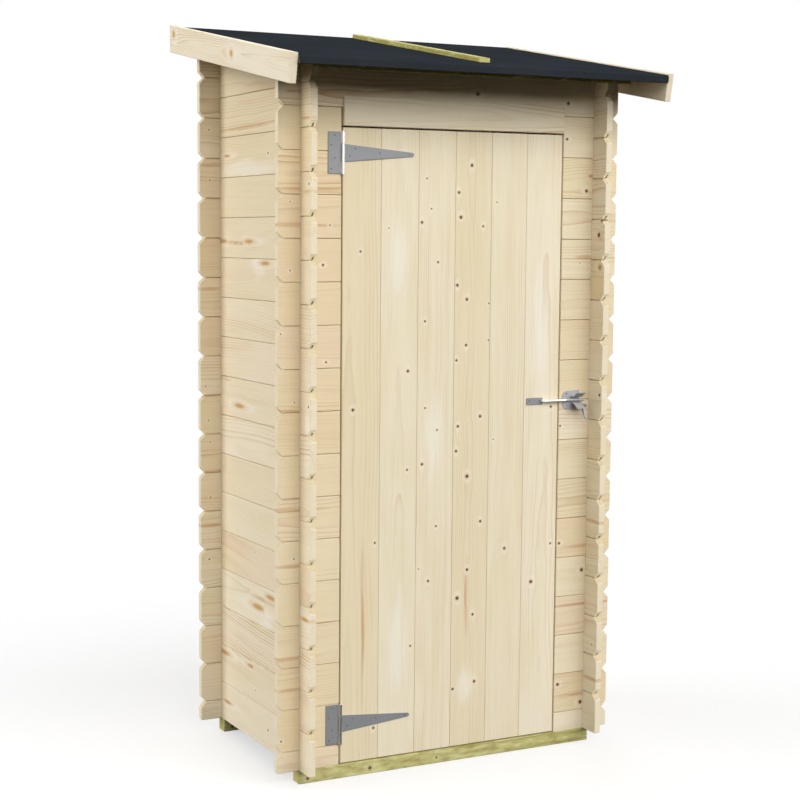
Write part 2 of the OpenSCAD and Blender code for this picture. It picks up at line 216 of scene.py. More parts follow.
def timber_figure():
    """Year rings round a pith, fibre, one knot, a pale patch and a heartwood streak, in a board's metres."""
    inputs = [("Grain", VECTOR, None), ("Seed", FLOAT, 0.0)]
    inputs += [(label, VECTOR, None) for label in ("Pith", "Knot", "Pale", "Streak")]
    inputs.append(("Ring Pitch", FLOAT, 0.004))
    outputs = ("Rings", "Bands", "Fibre", "Cloud", "Blotch", "Knot", "Knot Heart", "Knot Rim", "Knot Amber",
               "Flush", "Halo", "Pale", "Streak")
    tree, net, given, out = new_group("timber_figure", inputs, outputs)
    m = net.math
    u, v, w = net.split(given["Grain"])
    pith_v, pith_w, taper = net.split(given["Pith"])
    knot_u, knot_v, signed_r = net.split(given["Knot"])
    knot_r = m("ABSOLUTE", signed_r)
    amber = m("LESS_THAN", signed_r, 0.0)
    seed = given["Seed"]
    shift = m("MULTIPLY", seed, 53.0)

    def along(fine_u, fine_v, across=None, detail=1.0, rough=0.5):
        """Noise that is fine_u along the grain and fine_v across it."""
        across = v if across is None else across
        x = m("MULTIPLY_ADD", u, fine_u, shift)
        y = m("MULTIPLY", across, fine_v)
        return net.noise(net.join(x, y, m("MULTIPLY", w, fine_v)), detail=detail, rough=rough)

    # Grain that gives way to the knot, then rings round the pith
    du, dv = m("SUBTRACT", u, knot_u), m("SUBTRACT", v, knot_v)
    dk = m("MULTIPLY", du, m("MULTIPLY_ADD", amber, -AMBER_STRETCH, 1.0))
    du2, dk2, dv2 = (m("MULTIPLY", d, d) for d in (du, dk, dv))
    far2 = m("MULTIPLY_ADD", du2, 0.14, dv2)
    reach = m("MULTIPLY", knot_r, KNOT_REACH)
    reach2 = m("MULTIPLY", reach, reach)
    reach2 = m("MULTIPLY", reach2, net.step(m("ABSOLUTE", du), BEND_NEAR, BEND_FAR, 1.0, 0.0))
    bent_v = m("MULTIPLY_ADD", dv, m("DIVIDE", far2, m("ADD", m("ADD", far2, reach2), 1e-9)), knot_v)
    drift = m("MULTIPLY_ADD", along(2.2, 7.0), DRIFT, -DRIFT / 2)
    ripple = m("MULTIPLY_ADD", along(10.0, 26.0), RIPPLE, -RIPPLE / 2)
    a = m("ADD", m("SUBTRACT", bent_v, pith_v), drift)
    b = m("SUBTRACT", w, pith_w)
    radius = m("SQRT", m("MULTIPLY_ADD", a, a, m("MULTIPLY", b, b)))
    radius = m("ADD", radius, m("MULTIPLY_ADD", taper, u, ripple))
    phase = m("MULTIPLY_ADD", seed, 17.0, m("DIVIDE", radius, given["Ring Pitch"]))
    part = m("FRACT", phase)
    late = m("MULTIPLY", m("POWER", part, 3.0), net.step(part, 0.90, 1.0, 1.0, 0.0))
    year = net.noise(net.join(m("MULTIPLY", phase, 0.55), m("MULTIPLY", seed, 31.0), 0.0), detail=1.0)
    fade = net.step(along(1.6, 13.0), 0.36, 0.62, 0.2, 1.15)
    net.put(out["Rings"], m("MULTIPLY", m("MULTIPLY", late, fade), net.step(year, 0.30, 0.72, 0.2, 1.8)))
    wide = net.noise(net.join(m("MULTIPLY", phase, 0.17), m("MULTIPLY", seed, 11.0), 0.0), detail=2.0)
    wide = m("MULTIPLY", net.step(wide, 0.52, 0.70), net.step(along(3.0, 9.0), 0.35, 0.60))
    net.put(out["Bands"], m("MULTIPLY", wide, m("MULTIPLY_ADD", m("MULTIPLY", part, part), 0.80, 0.20)))
    net.put(out["Fibre"], along(7.0, 520.0, bent_v, 2.0, 0.6))
    net.put(out["Cloud"], along(3.5, 22.0, detail=2.0))
    net.put(out["Blotch"], along(24.0, 75.0, detail=2.0))

    # The knot itself: ratio is the distance from its centre in radii, with a ragged edge
    ragged = m("MULTIPLY_ADD", along(170.0, 170.0, detail=2.0), 0.5, -0.25)
    size = m("MAXIMUM", knot_r, 1e-4)
    real = m("GREATER_THAN", knot_r, KNOT_FROM)
    ratio = m("ADD", m("DIVIDE", m("SQRT", m("ADD", dk2, dv2)), size), ragged)

    def disc(value, full, none):
        """A mask that is full up to one ratio and gone at the next."""
        return m("MULTIPLY", real, net.step(value, full, none, 1.0, 0.0))

    def ring(low, lift, fall, high):
        up = net.step(ratio, low, lift)
        return m("MULTIPLY", real, m("MULTIPLY", up, net.step(ratio, fall, high, 1.0, 0.0)))

    net.put(out["Knot"], disc(ratio, 0.75, 1.10))
    net.put(out["Knot Heart"], disc(ratio, 0.15, 0.65))
    net.put(out["Knot Rim"], ring(0.70, 0.92, 0.95, 1.15))
    net.put(out["Knot Amber"], m("MAXIMUM", amber, net.step(knot_r, AMBER_FROM, AMBER_TO)))
    net.put(out["Flush"], ring(0.60, 1.00, 1.10, 2.40))
    spread = m("DIVIDE", m("SQRT", m("MULTIPLY_ADD", dk2, 0.45, dv2)), size)
    net.put(out["Halo"], disc(m("ADD", spread, m("MULTIPLY", ragged, 2.5)), 1.3, 3.4))

    def mark(socket, half_width, across, soft):
        """A long soft patch: the socket holds its place along and across the board and its half length."""
        mark_u, mark_v, half = net.split(given[socket])
        x = m("DIVIDE", m("SUBTRACT", u, mark_u), m("MAXIMUM", half, 1e-3))
        y = m("DIVIDE", m("SUBTRACT", across, mark_v), half_width)
        off = m("SQRT", m("MULTIPLY_ADD", x, x, m("MULTIPLY", y, y)))
        off = m("ADD", off, m("MULTIPLY_ADD", along(6.0, 60.0, detail=2.0), soft, -0.5 * soft))
        return m("MULTIPLY", m("GREATER_THAN", half, 0.001), net.step(off, 0.25, 1.10, 1.0, 0.0))

    net.put(out["Pale"], mark("Pale", PALE_HALF, v, 1.4))
    lined = m("MULTIPLY_ADD", m("MULTIPLY", part, part), 0.50, 0.50)
    streak = mark("Streak", STREAK_HALF, m("ADD", v, m("MULTIPLY", drift, 0.6)), 1.1)
    net.put(out["Streak"], m("MULTIPLY", streak, lined))
    return tree


FIGURE = timber_figure()
# How strongly each mark of the timber is laid over the tones below it
CLOUDING, PALE_PATCH, HEARTWOOD = 0.40, 0.60, 0.90
# The first strength below lays the cut tone on cut ends, partly painted light, and the deep tone on notches'
# flanks as painted shade
END_GRAIN_LIGHT_AND_FLANK_SHADE, KNOT_RING, KNOT_CORE = 0.85, 0.50, 0.50


def timber(name, tones, ring_pitch, ring_depth, band_depth, roughness, stain=0.0):
    """A planed timber finish that reads the grain attributes of the boards."""
    mat, net, shader = new_material(name)
    m = net.math
    tones = {part: tone(*shade) for part, shade in tones.items()}
    seed, depth, warmth = net.split(net.attribute("board").outputs["Vector"])
    figure = net.attribute("figure").outputs["Fac"]
    force = m("ABSOLUTE", figure)
    fig = net.add("ShaderNodeGroup", node_tree=FIGURE)
    for label in ("Grain", "Pith", "Knot", "Pale", "Streak"):
        net.put(fig.inputs[label], net.attribute(label.lower()).outputs["Vector"])
    net.put(fig.inputs["Seed"], seed)
    spread = m("FRACT", m("MULTIPLY", seed, 7.31))
    net.put(fig.inputs["Ring Pitch"], m("MULTIPLY_ADD", spread, ring_pitch, ring_pitch * 0.7))
    o = fig.outputs
    colour = net.mix(depth, tones["pale"], tones["deep"])

    def lay(factor, part):
        """Lays one of the finish's tones over what is there."""
        nonlocal colour
        colour = net.mix(factor, colour, tones[part])

    lay(warmth, "warm")
    lay(m("MULTIPLY", net.step(o["Cloud"], 0.42, 0.70), CLOUDING), "deep")
    if stain:
        lay(m("MULTIPLY", net.step(o["Blotch"], 0.50, 0.66), stain), "stain")
        lay(m("MULTIPLY", net.step(o["Blotch"], 0.46, 0.34), stain), "white")
    # Cut ends have a figure below 0 and take the cut tone, which on the spruce is light, partly the end
    # grain's own and partly painted light; the notches' flanks have one below -0.5 and also take the deep
    # tone, painted shade in the notch
    lay(m("MULTIPLY", m("LESS_THAN", figure, 0.0), END_GRAIN_LIGHT_AND_FLANK_SHADE), "cut")
    lay(m("MULTIPLY", m("LESS_THAN", figure, -0.5), END_GRAIN_LIGHT_AND_FLANK_SHADE), "deep")
    lay(m("MULTIPLY", o["Pale"], PALE_PATCH), "white")
    lay(m("MULTIPLY", m("MULTIPLY", o["Bands"], band_depth), force, clamp=True), "streak")
    lay(m("MULTIPLY", o["Streak"], HEARTWOOD), "heart")
    lay(m("MULTIPLY", m("MULTIPLY", o["Rings"], ring_depth), force, clamp=True), "latewood")
    fibre = m("MULTIPLY_ADD", o["Fibre"], 0.16, 0.92)
    colour = net.mix(1.0, colour, net.grey(fibre), "MULTIPLY")
    lay(m("MULTIPLY", o["Halo"], KNOT_RING), "white")
    lay(m("MULTIPLY", o["Flush"], KNOT_RING), "flush")
    knot = net.mix(o["Knot Amber"], tones["knot"], tones["knot_amber"])
    core = m("MAXIMUM", o["Knot Heart"], m("MULTIPLY", o["Knot Rim"], KNOT_CORE))
    core = m("MULTIPLY", core, m("MULTIPLY_ADD", o["Knot Amber"], -0.75, 1.0))
    knot = net.mix(core, knot, tones["knot_dark"])
    net.put(shader.inputs["Base Color"], net.mix(o["Knot"], colour, knot))
    net.put(shader.inputs["Roughness"], m("MULTIPLY_ADD", o["Fibre"], 0.12, roughness))
    shader.inputs["Specular IOR Level"].default_value = 0.25
    relief = m("MULTIPLY_ADD", o["Fibre"], 0.5, m("MULTIPLY", o["Rings"], 0.5))
    net.bump(shader, 0.25, 0.0006, relief)
    return mat


SPRUCE = timber(
    "planed_spruce",
    dict(pale=(243, 232, 207), deep=(233, 218, 178), warm=(236, 210, 178), white=(249, 242, 226),
         cut=(243, 230, 201), latewood=(200, 160, 114), streak=(220, 182, 142), heart=(204, 158, 110),
         flush=(226, 190, 142), knot=(134, 96, 64), knot_amber=(214, 176, 118), knot_dark=(78, 54, 38)),
    ring_pitch=0.0050, ring_depth=0.62, band_depth=0.65, roughness=0.55,
)
# Spruce made much darker: painted shade on the roof deck's underside under the eaves
SHADE_DARKENED_SPRUCE = timber(
    "shade_darkened_spruce",
    dict(pale=(112, 104, 88), deep=(98, 89, 72), warm=(108, 94, 76), white=(124, 116, 100),
         cut=(140, 128, 104), latewood=(80, 66, 48), streak=(92, 76, 58), heart=(88, 70, 50),
         flush=(96, 80, 60), knot=(70, 52, 36), knot_amber=(90, 70, 46), knot_dark=(46, 34, 26)),
    ring_pitch=0.0050, ring_depth=0.62, band_depth=0.65, roughness=0.70,
)
TREATED = timber(
    "pressure_treated_pine",
    dict(pale=(216, 209, 150), deep=(172, 169, 86), warm=(206, 190, 120), white=(224, 219, 162),
         cut=(190, 184, 116), latewood=(146, 134, 70), streak=(172, 164, 92), heart=(160, 152, 80),
         flush=(176, 140, 90), knot=(120, 88, 50), knot_amber=(140, 104, 60), knot_dark=(78, 54, 32),
         stain=(164, 142, 84)),
    ring_pitch=0.0042, ring_depth=0.60, band_depth=0.75, roughness=0.62, stain=0.6,
)

# ---------------------------------------------------------------------------
# Metal and felt finishes
# ---------------------------------------------------------------------------


def galvanised(name, base, roughness, spangle, metallic):
    """Zinc-coated sheet with a faint crystal spangle."""
    mat, net, shader = new_material(name)
    place = net.place()
    cells = net.add("ShaderNodeTexVoronoi", {"Vector": place, "Scale": 230.0})
    mottle = net.noise(place, scale=90.0, detail=3.0)
    shade = net.math("MULTIPLY_ADD", net.split(cells.outputs["Color"])[0], spangle, 1.0 - spangle / 2)
    shade = net.math("MULTIPLY", shade, net.math("MULTIPLY_ADD", mottle, 0.10, 0.95))
    net.put(shader.inputs["Base Color"], net.mix(1.0, tone(*base), net.grey(shade), "MULTIPLY"))
    net.put(shader.inputs["Roughness"], net.math("MULTIPLY_ADD", mottle, 0.16, roughness))
    shader.inputs["Metallic"].default_value = metallic
    net.bump(shader, 0.15, 0.0003, mottle)
    return mat


STEEL = galvanised("galvanised_sheet", (142, 143, 145), 0.50, 0.06, 0.35)
BRIGHT = galvanised("bright_zinc", (236, 236, 238), 0.22, 0.03, 1.0)
# Screw heads darker than the sheet and near-black recesses: painted shade, so the screws read as dark holes
SCREW = galvanised("screw_head", (62, 62, 66), 0.50, 0.06, 0.20)
# A sheet lighter than the hinges' steel: painted light on the keeper and lever in the wall corner's shade,
# and painted shade on the bar's end
KEEPER_LIGHT_AND_BAR_SHADE = galvanised("latch_sheet_painted_light_and_shade", (176, 177, 179), 0.50, 0.06, 0.35)
RECESS_SHADE = galvanised("screw_recess_shade", (26, 26, 28), 0.60, 0.06, 0.10)


def bitumen_felt():
    """Charcoal roofing felt with a fine mineral grit."""
    mat, net, shader = new_material("roofing_felt")
    place = net.place()
    grit = net.noise(place, scale=900.0, detail=2.0, rough=0.7)
    drift = net.noise(place, scale=5.0, detail=3.0)
    colour = net.mix(net.step(grit, 0.35, 0.70), tone(38, 42, 47), tone(54, 59, 65))
    colour = net.mix(net.math("MULTIPLY", net.step(drift, 0.35, 0.75), 0.25), colour, tone(62, 66, 72))
    net.put(shader.inputs["Base Color"], colour)
    shader.inputs["Roughness"].default_value = 0.95
    shader.inputs["Specular IOR Level"].default_value = 0.0
    net.bump(shader, 0.5, 0.0004, grit)
    return mat


FELT = bitumen_felt()

# ---------------------------------------------------------------------------
# Timber: every board is a loft of sections along its grain
# ---------------------------------------------------------------------------

# A board's eased edges, its joint's groove and tongue, and the gaps that a joint leaves in sight
BEVEL = 1.2
GROOVE = 9.0
TONGUE = 5.0
TONGUE_BACK = 7.0
SEAM = 1.3
INNER_SEAM = 1.5
DOOR_SEAM = 0.6
# The tongue stands between these parts of the thickness, and a groove leaves this much wood over it
TONGUE_FROM, TONGUE_TO = 0.37, 0.63
GROOVE_WOOD = 3.0
# Crossed boards are halved, a quarter of the height and a hair at top and foot
LAP = PITCH / 4 + 0.15
NEVER = 1e9
FAR_AWAY = (-9e3, 0.0, 0.0)
# A notch's flank slants, and runs this far along the grain at least and at most
FLANK_SLANT = 0.35
FLANK_MIN, FLANK_MAX = 3.0, 20.0
# Figure of a cut end and of a notch's flank, whose deep tone is painted shade, and how far the flank's
# shading leans to the board's end
CUT_FIGURE, SHADED_FLANK_FIGURE = -0.4, -0.6
NOTCH_EASE = 6.0


def skin(bm, rings):
    """Faces between closed rings of mesh points; the caps of the two ends come last."""
    faces = []
    for here, there in zip(rings, rings[1:]):
        for i in range(len(here)):
            j = (i + 1) % len(here)
            faces.append(bm.faces.new((here[i], here[j], there[j], there[i])))
    return faces + [bm.faces.new(rings[0][::-1]), bm.faces.new(rings[-1])]


def link(name, data):
    """A new object of the scene."""
    obj = bpy.data.objects.new(name, data)
    bpy.context.scene.collection.objects.link(obj)
    return obj


class Timber:
    """Boards that share a piece. Local axes: u along the grain, v across, w through the thickness."""

    def __init__(self, name, seed):
        self.name = name
        self.luck = random.Random(seed)
        self.bm = bmesh.new()
        self.grain = self.bm.verts.layers.float_vector.new("grain")
        face = self.bm.faces.layers.float_vector
        self.board, self.pith, self.knot, self.pale, self.streak = (
            face.new(n) for n in ("board", "pith", "knot", "pale", "streak"))
        self.force = self.bm.faces.layers.float.new("figure")
        self.eased = self.bm.faces.layers.float.new("eased")

    def loft(self, place, stations, knots=(), look=None, pith=None, figure=None, pale=(), streak=()):
        """One board: place turns local (u, v, w) into millimetres; stations are lists of local points."""
        luck = self.luck
        drawn = (luck.random(), luck.random(), max(0.0, luck.gauss(0.1, 0.35)))
        look = drawn if look is None else drawn[:3 - len(look)] + tuple(look)
        if not pith:
            across, side = luck.uniform(-30, 140), luck.choice((-1, 1))
            pith = (across, side * luck.uniform(25, 90), luck.uniform(-0.02, 0.02))
        figure = luck.choice((0.35, 0.6, 0.8, 1.1)) if figure is None else figure
        self.middle = (stations[0][0][0] + stations[-1][0][0]) / 2 * MM
        rings = []
        for station in stations:
            ring = []
            for p in station:
                vert = self.bm.verts.new(Vector(place(*p)) * MM)
                vert[self.grain] = Vector(p) * MM
                ring.append(vert)
            rings.append(ring)
        faces = skin(self.bm, rings)
        ends = faces[-2:]
        for f in faces:
            middle = sum((v[self.grain] for v in f.verts), Vector()) / len(f.verts) / MM
            shade = 0.0 if f in ends else 1.0
            f[self.board] = Vector((look[0], shade * min(look[1], 1.0), shade * min(look[2], 1.0)))
            f[self.pith] = Vector((pith[0] * MM, pith[1] * MM, pith[2]))
            f[self.eased] = self.slant(f)
            f[self.force] = SHADED_FLANK_FIGURE if f[self.eased] else CUT_FIGURE if f in ends else figure
            for layer, marks in ((self.knot, knots), (self.pale, pale), (self.streak, streak)):
                near = min(marks, key=lambda k: abs(k[0] - middle.x)) if marks else FAR_AWAY
                f[layer] = Vector(near) * MM
        verts = [v for ring in rings for v in ring]
        bmesh.ops.remove_doubles(self.bm, verts=verts, dist=1e-6)

    def slant(self, f):
        """Which way along the grain a notch's flank looks: 1, -1, or 0 for any other face."""
        low, high = (pick(f.verts, key=lambda v: v[self.grain].x)[self.grain] for pick in (min, max))
        n = Vector()
        verts = [v[self.grain] for v in f.verts]
        for p, q in zip(verts, verts[1:] + verts[:1]):
            n += p.cross(q)
        run = high.x - low.x
        if n.length < 1e-9 or run < FLANK_MIN * MM or run > FLANK_MAX * MM:
            return 0.0
        n.normalize()
        if abs(n.x) <= FLANK_SLANT or abs(n.y) <= FLANK_SLANT:
            return 0.0
        return math.copysign(1.0, (low.x + high.x) / 2 - self.middle)

    def finish(self, material, body, slot, *nodes, along=(0.0, 0.0, 0.0)):
        bmesh.ops.dissolve_degenerate(self.bm, dist=1e-6, edges=self.bm.edges)
        return finish_piece(self.bm, self.name, (material,), body, slot, *nodes, along=along)


def finish_piece(bm, name, materials, body, slot, *nodes, along=(0.0, 0.0, 0.0)):
    """Turns a built mesh into a piece; notches' flanks are shaded as eased towards the board's end."""
    bmesh.ops.recalc_face_normals(bm, faces=bm.faces)
    mesh = bpy.data.meshes.new(name)
    bm.to_mesh(mesh)
    bm.free()
    eased = mesh.attributes.get("eased")
    if eased:
        ways = [d.value for d in eased.data]
        mesh.attributes.remove(eased)
        if Vector(along).length > 0:
            ease_flanks(mesh, ways, Vector(along))
    for material in materials:
        mesh.materials.append(material)
    obj = link(name, mesh)
    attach(obj, body)
    if nodes:
        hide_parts(*nodes)
    return obj


def ease_flanks(mesh, ways, along):
    """Leans the shading of the flanks, one way or the other along the wall."""
    normals = [Vector()] * len(mesh.loops)
    for poly, way in zip(mesh.polygons, ways):
        if way:
            for k in poly.loop_indices:
                normals[k] = (poly.normal + along * way * NOTCH_EASE).normalized()
    mesh.normals_split_custom_set(normals)


def board_section(u, v0, v1, t, groove=0.0, tongue=0.0, inset=0.0, v1_in=None, open_in=0.0):
    """Tongued board's section at u; v1_in is the top's height inside, where open_in widens the joint."""
    v1_in = v1 if v1_in is None else v1_in
    b = min(BEVEL, (min(v1, v1_in) - v0) / 3)
    i = min(inset, b)
    lo, w0, w1 = v0 + i, i, t - i
    mid0, mid1 = t * TONGUE_FROM, t * TONGUE_TO
    groove = min(groove, max(0.0, (min(v1, v1_in) - v0) - GROOVE_WOOD))

    def top(w):
        return v1 + (v1_in - v1) * w / t - i

    return [
        (u, lo + b, w0), (u, lo, w0 + b),
        (u, lo, mid0), (u, lo + groove, mid0), (u, lo + groove, mid1), (u, lo, mid1),
        (u, lo, w1 - b), (u, lo + b, w1),
        (u, top(w1) - open_in - b, w1), (u, top(w1 - b) - open_in, w1 - b),
        (u, top(mid1) - open_in, mid1), (u, top(mid1) + tongue, mid1),
        (u, top(mid0) + tongue, mid0), (u, top(mid0), mid0),
        (u, top(w0 + b), w0 + b), (u, top(w0) - b, w0),
    ]


def between(*marks):
    """Places half way between neighbouring marks, where a board's faces are split."""
    out = set()
    for group in marks:
        order = sorted(group)
        out |= {(p[0] + q[0]) / 2 for p, q in zip(order, order[1:]) if q[0] - p[0] > 1.0}
    return out


def log_marks(u0, u1, ends, crossings, above_from, splits):
    """Where a wall board's section changes, as (u, step); a step says which side of a sudden change it is."""
    marks = {(u0, 0), (u1, 0), (u0 + BEVEL, 0), (u1 - BEVEL, 0)}
    notch = (NOTCH_D * (1 - GROOVE / NOTCH_H), NOTCH_D, NOTCH_D + TONGUE_BACK,
             NOTCH_D * (1 + TONGUE / NOTCH_H) + TONGUE_BACK)
    marks |= {(end + s * x, 0) for end, s, on in ends if on for x in notch}
    marks |= {(k, 0) for k in splits if u0 + BEVEL < k < u1 - BEVEL}
    for c0, c1 in crossings:
        marks |= {(c0, 0), (c0, 1), (c1, 0), (c1, 1)}
    if u0 < above_from < u1:
        marks |= {(above_from, 0), (above_from, 1)}
    return sorted(marks)


def log_stations(u0, u1, top, height, crossings, notched, below, above_from, splits, cross_low=True,
                 top_in=None):
    """Stations of a wall board whose foot is at v = 0. From u = above_from on, a board lies on it."""
    ends = ((u0, 1, notched[0]), (u1, -1, notched[1]))
    stations = []
    for u, step in log_marks(u0, u1, ends, crossings, above_from, splits):
        inside = any((c0 < u < c1) or (u == c0 and step) or (u == c1 and not step) for c0, c1 in crossings)
        above = u > above_from or (u == above_from and step == 1)
        gaps = [(u - end) * s for end, s, on in ends if on]
        trim = max([NOTCH_H * max(0.0, 1 - x / NOTCH_D) for x in gaps] + [0.0])
        stub = min([max(0.0, NOTCH_H * ((x - TONGUE_BACK) / NOTCH_D - 1)) for x in gaps] + [TONGUE])
        v0 = trim if below else 0.0
        cut = trim if above else 0.0
        v1 = min(top(u), height - SEAM) - cut
        inner = min((top_in or top)(u), height - SEAM) - cut
        groove = max(0.0, GROOVE - trim) if below else 0.0
        tongue = stub if above else 0.0
        if inside:
            groove = tongue = 0.0
            v0 = LAP if cross_low else 0.0
            if above:
                v1 = inner = height - LAP
        open_in = INNER_SEAM if above and not inside else 0.0
        inset = BEVEL if u in (u0, u1) else 0.0
        stations.append(board_section(u, v0, v1, WALL_T, groove, tongue, inset, inner, open_in))
    return stations


def plain_stations(u0, u1, width, t, groove=0.0, tongue=0.0, splits=()):
    """Stations of a straight board with square ends."""
    marks = {u0, u0 + BEVEL, u1 - BEVEL, u1} | {k for k in splits if u0 + BEVEL < k < u1 - BEVEL}
    return [
        board_section(u, 0.0, width, t, groove, tongue, BEVEL if u in (u0, u1) else 0.0)
        for u in sorted(marks)
    ]


# Clear timber round a chance knot: to the board's end, to its edges and to the next knot
END_CLEAR, EDGE_CLEAR, KNOT_CLEAR = 25.0, 14.0, 90.0
SMALL_KNOT = 2.5


def random_knots(luck, start, end, width, every=420.0, large=7.5):
    """Knots by chance: position along the board, across it, and radius."""
    out = []
    u = start + luck.expovariate(1.0 / every)
    while u < end - END_CLEAR:
        out.append((u, luck.uniform(EDGE_CLEAR, width - EDGE_CLEAR), luck.uniform(SMALL_KNOT, large)))
        u += KNOT_CLEAR + luck.expovariate(1.0 / every)
    return out


# ---------------------------------------------------------------------------
# Walls
# ---------------------------------------------------------------------------

# Gap beside a crossing board, and clear timber past the last chosen knot and at a side wall's rear end
CROSS_GAP = 0.2
CHOSEN_CLEAR = 60.0
REAR_CLEAR = 20
# A row starts this far behind the place where the roof meets its foot, and the last row of the front or
# back wall is carried up to the roof where less than a sliver would be left over it
ROOF_CLEAR = 4.0
SLIVER = 10
FRONT_CROSS = (FRONT_Y - CROSS_GAP, FRONT_Y + WALL_T + CROSS_GAP)
BACK_CROSS = (BACK_Y - WALL_T - CROSS_GAP, BACK_Y + CROSS_GAP)
LEFT_CROSS = (-SIDE_X - CROSS_GAP, -INNER_X + CROSS_GAP)
RIGHT_CROSS = (INNER_X - CROSS_GAP, SIDE_X + CROSS_GAP)
WALL_ROWS = 18
# Rows beside the door; one board as long as the wall lies on the last of them
FRONT_ROWS = 16


def chosen(looks, kind, row, shift=0.0):
    """A row's chosen marks of one kind, moved along the board by shift."""
    return [(mark[0] + shift,) + mark[1:] for mark in looks.get(kind, {}).get(row, ())]


def side_wall(name, node, side, seed, looks, chance_from, every):
    """Rows of whole boards; the top rows are cut to the roof's slope. Marks count from the front wall."""
    wall = Timber(name, seed)
    y0, y1 = FRONT_Y - LOG_END, BACK_Y + LOG_END
    for row in range(WALL_ROWS):
        foot = BASE_Z + row * PITCH

        def roof_meets(v):
            return BACK_Y + (foot + v - back_hi.z) / SLOPE

        start = max(y0, roof_meets(0.0) + ROOF_CLEAR)
        covered = roof_meets(PITCH)
        above_from = -NEVER if covered <= y0 else covered + ROOF_CLEAR
        knots, streak, pale = (chosen(looks, kind, row, FRONT_Y) for kind in ("knots", "streaks", "pales"))
        reach = max([k[0] + CHOSEN_CLEAR for k in knots] + [FRONT_Y + chance_from])
        knots += random_knots(wall.luck, reach, y1 - REAR_CLEAR, PITCH, every)
        splits = between(knots, streak, pale) | ({covered} if y0 < covered < y1 else set())
        crossings = [c for c in (FRONT_CROSS, BACK_CROSS) if c[0] > start]
        stations = log_stations(start, y1, lambda y: under(y) - foot, PITCH, crossings, (start == y0, True),
                                row > 0, above_from, splits)
        depth, warmth, strength = looks["rows"][min(row, len(looks["rows"]) - 1)]
        wall.loft(lambda u, v, w: (side * (SIDE_X - w), u, foot + v), stations, knots, (depth, warmth),
                  looks.get("piths", {}).get(row), strength, pale, streak)
    return wall.finish(SPRUCE, "shed", "spruce", node, along=(0.0, 1.0, 0.0))


def cross_wall(name, node, outer_y, inward, rows, seed, x_from, x_to, notched, looks, chance_from=None):
    """Rows of the front or back wall between two places along X; row 0 is the half board at the foot."""
    wall = Timber(name, seed)
    inner_y = outer_y + inward * WALL_T
    crossings = [c for c in (LEFT_CROSS, RIGHT_CROSS) if x_from < c[0] and c[1] < x_to]
    for row in rows:
        foot = BASE_Z + max(0.0, (row - 0.5) * PITCH)
        height = PITCH / 2 if row == 0 else PITCH
        last = foot + height >= min(under(outer_y), under(inner_y)) - SLIVER
        knots, streak = (chosen(looks, kind, row) for kind in ("knots", "streaks"))
        if chance_from is not None:
            reach = max([k[0] + CHOSEN_CLEAR for k in knots] + [chance_from])
            knots += random_knots(wall.luck, reach, x_to, height)
        top, top_in = (under(y) - foot if last else height for y in (outer_y, inner_y))
        stations = log_stations(x_from, x_to, lambda u: top, NEVER if last else height, crossings, notched,
                                row > 0, NEVER if last else -NEVER, between(knots, streak),
                                cross_low=row > 0, top_in=lambda u: top_in)
        depth, warmth, strength = looks["rows"][min(row, len(looks["rows"]) - 1)]
        wall.loft(lambda u, v, w: (u, outer_y + inward * w, foot + v), stations, knots, (depth, warmth),
                  figure=strength, streak=streak)
    return wall.finish(SPRUCE, "shed", "spruce", node, along=(1.0, 0.0, 0.0))


# Looks of each wall, row by row from the foot. A row's tones are (depth, warmth, strength of figure). Knots
# are (along, across, radius), where an amber knot's radius is negative. Streaks of heartwood and pale patches
# are (along, across, half length). Piths are those of the rows whose rings run out along the board.
LEFT_WALL = dict(
    rows=(
        (0.05, 0.2, 0.3), (0.25, 0.2, 0.9), (0, 0.25, 1), (0.1, 0, 0.5), (0.3, 0.45, 0.8), (0.3, 0.15, 0.2),
        (0.45, 0.25, 0.4), (0, 0.15, 0.7), (0.3, 0.25, 0.5), (0.15, 0.3, 0.6), (0.3, 0.2, 0.6),
        (0.5, 0.25, 0.3), (0.5, 0.25, 0.5), (0.7, 0.2, 0.25), (0.9, 0.3, 0.4), (0.8, 0.2, 0.75),
        (0.8, 0.1, 0.5),
    ),
    knots={
        0: [(204, 56, 3.5), (495, 61, -5)], 1: [(292, 34, 2), (324, 96, -5), (517, 92, -7)],
        2: [(426, 32, 2)], 3: [(-35, 79, -5), (185, 93, -7), (274, 50, -8)],
        4: [(292, 89, 2), (530, 92, 2)], 8: [(-52, 76, 3.5), (406, 36, -7)], 11: [(226, 102, -6)],
        12: [(336, 47, -6), (432, 98, 1.6), (525, 47, -6)], 13: [(-52, 82, 3.5)],
        14: [(206, 57, 3.5), (294, 45, 1.6), (494, 61, -4)],
    },
    streaks={0: [(495, 61, 60)], 1: [(517, 92, 60)], 3: [(230, 76, 130)], 12: [(430, 45, 170)],
             13: [(-40, 60, 40)], 15: [(-30, 22, 40), (343, 21, 330)]},
    pales={3: [(215, 20, 60)], 8: [(-46, 33, 20)], 11: [(270, 90, 60)], 14: [(343, 14, 300)]},
    piths={1: (-70, 35, -0.12), 2: (-60, 40, -0.05), 4: (-80, 40, -0.13), 10: (-60, 30, -0.06),
           12: (45, 14, 0.10), 15: (180, 25, 0.0)},
)
RIGHT_WALL = dict(
    rows=(
        (0, 0, 0.8), (0, 0, 0.35), (0, 0, 0.6), (0, 0, 0.8), (0.1, 0, 1), (0, 0, 0.35), (0.1, 0, 0.6),
        (0.35, 0, 0.35), (0, 0, 1), (0, 0, 1), (0, 0.2, 0.35), (0.9, 0.25, 0.8), (0, 0.1, 1), (0, 0, 1),
        (0, 0, 1), (0, 0, 1),
    ),
    knots={2: [(-40, 30, 2)], 8: [(-54, 72, 4.5)], 11: [(-44, 92, 8)], 12: [(-49, 109, 4.5), (-36, 69, 7)]},
    streaks={1: [(-40, 40, 60)], 5: [(-40, 50, 60)], 12: [(-36, 55, 30)]},
)
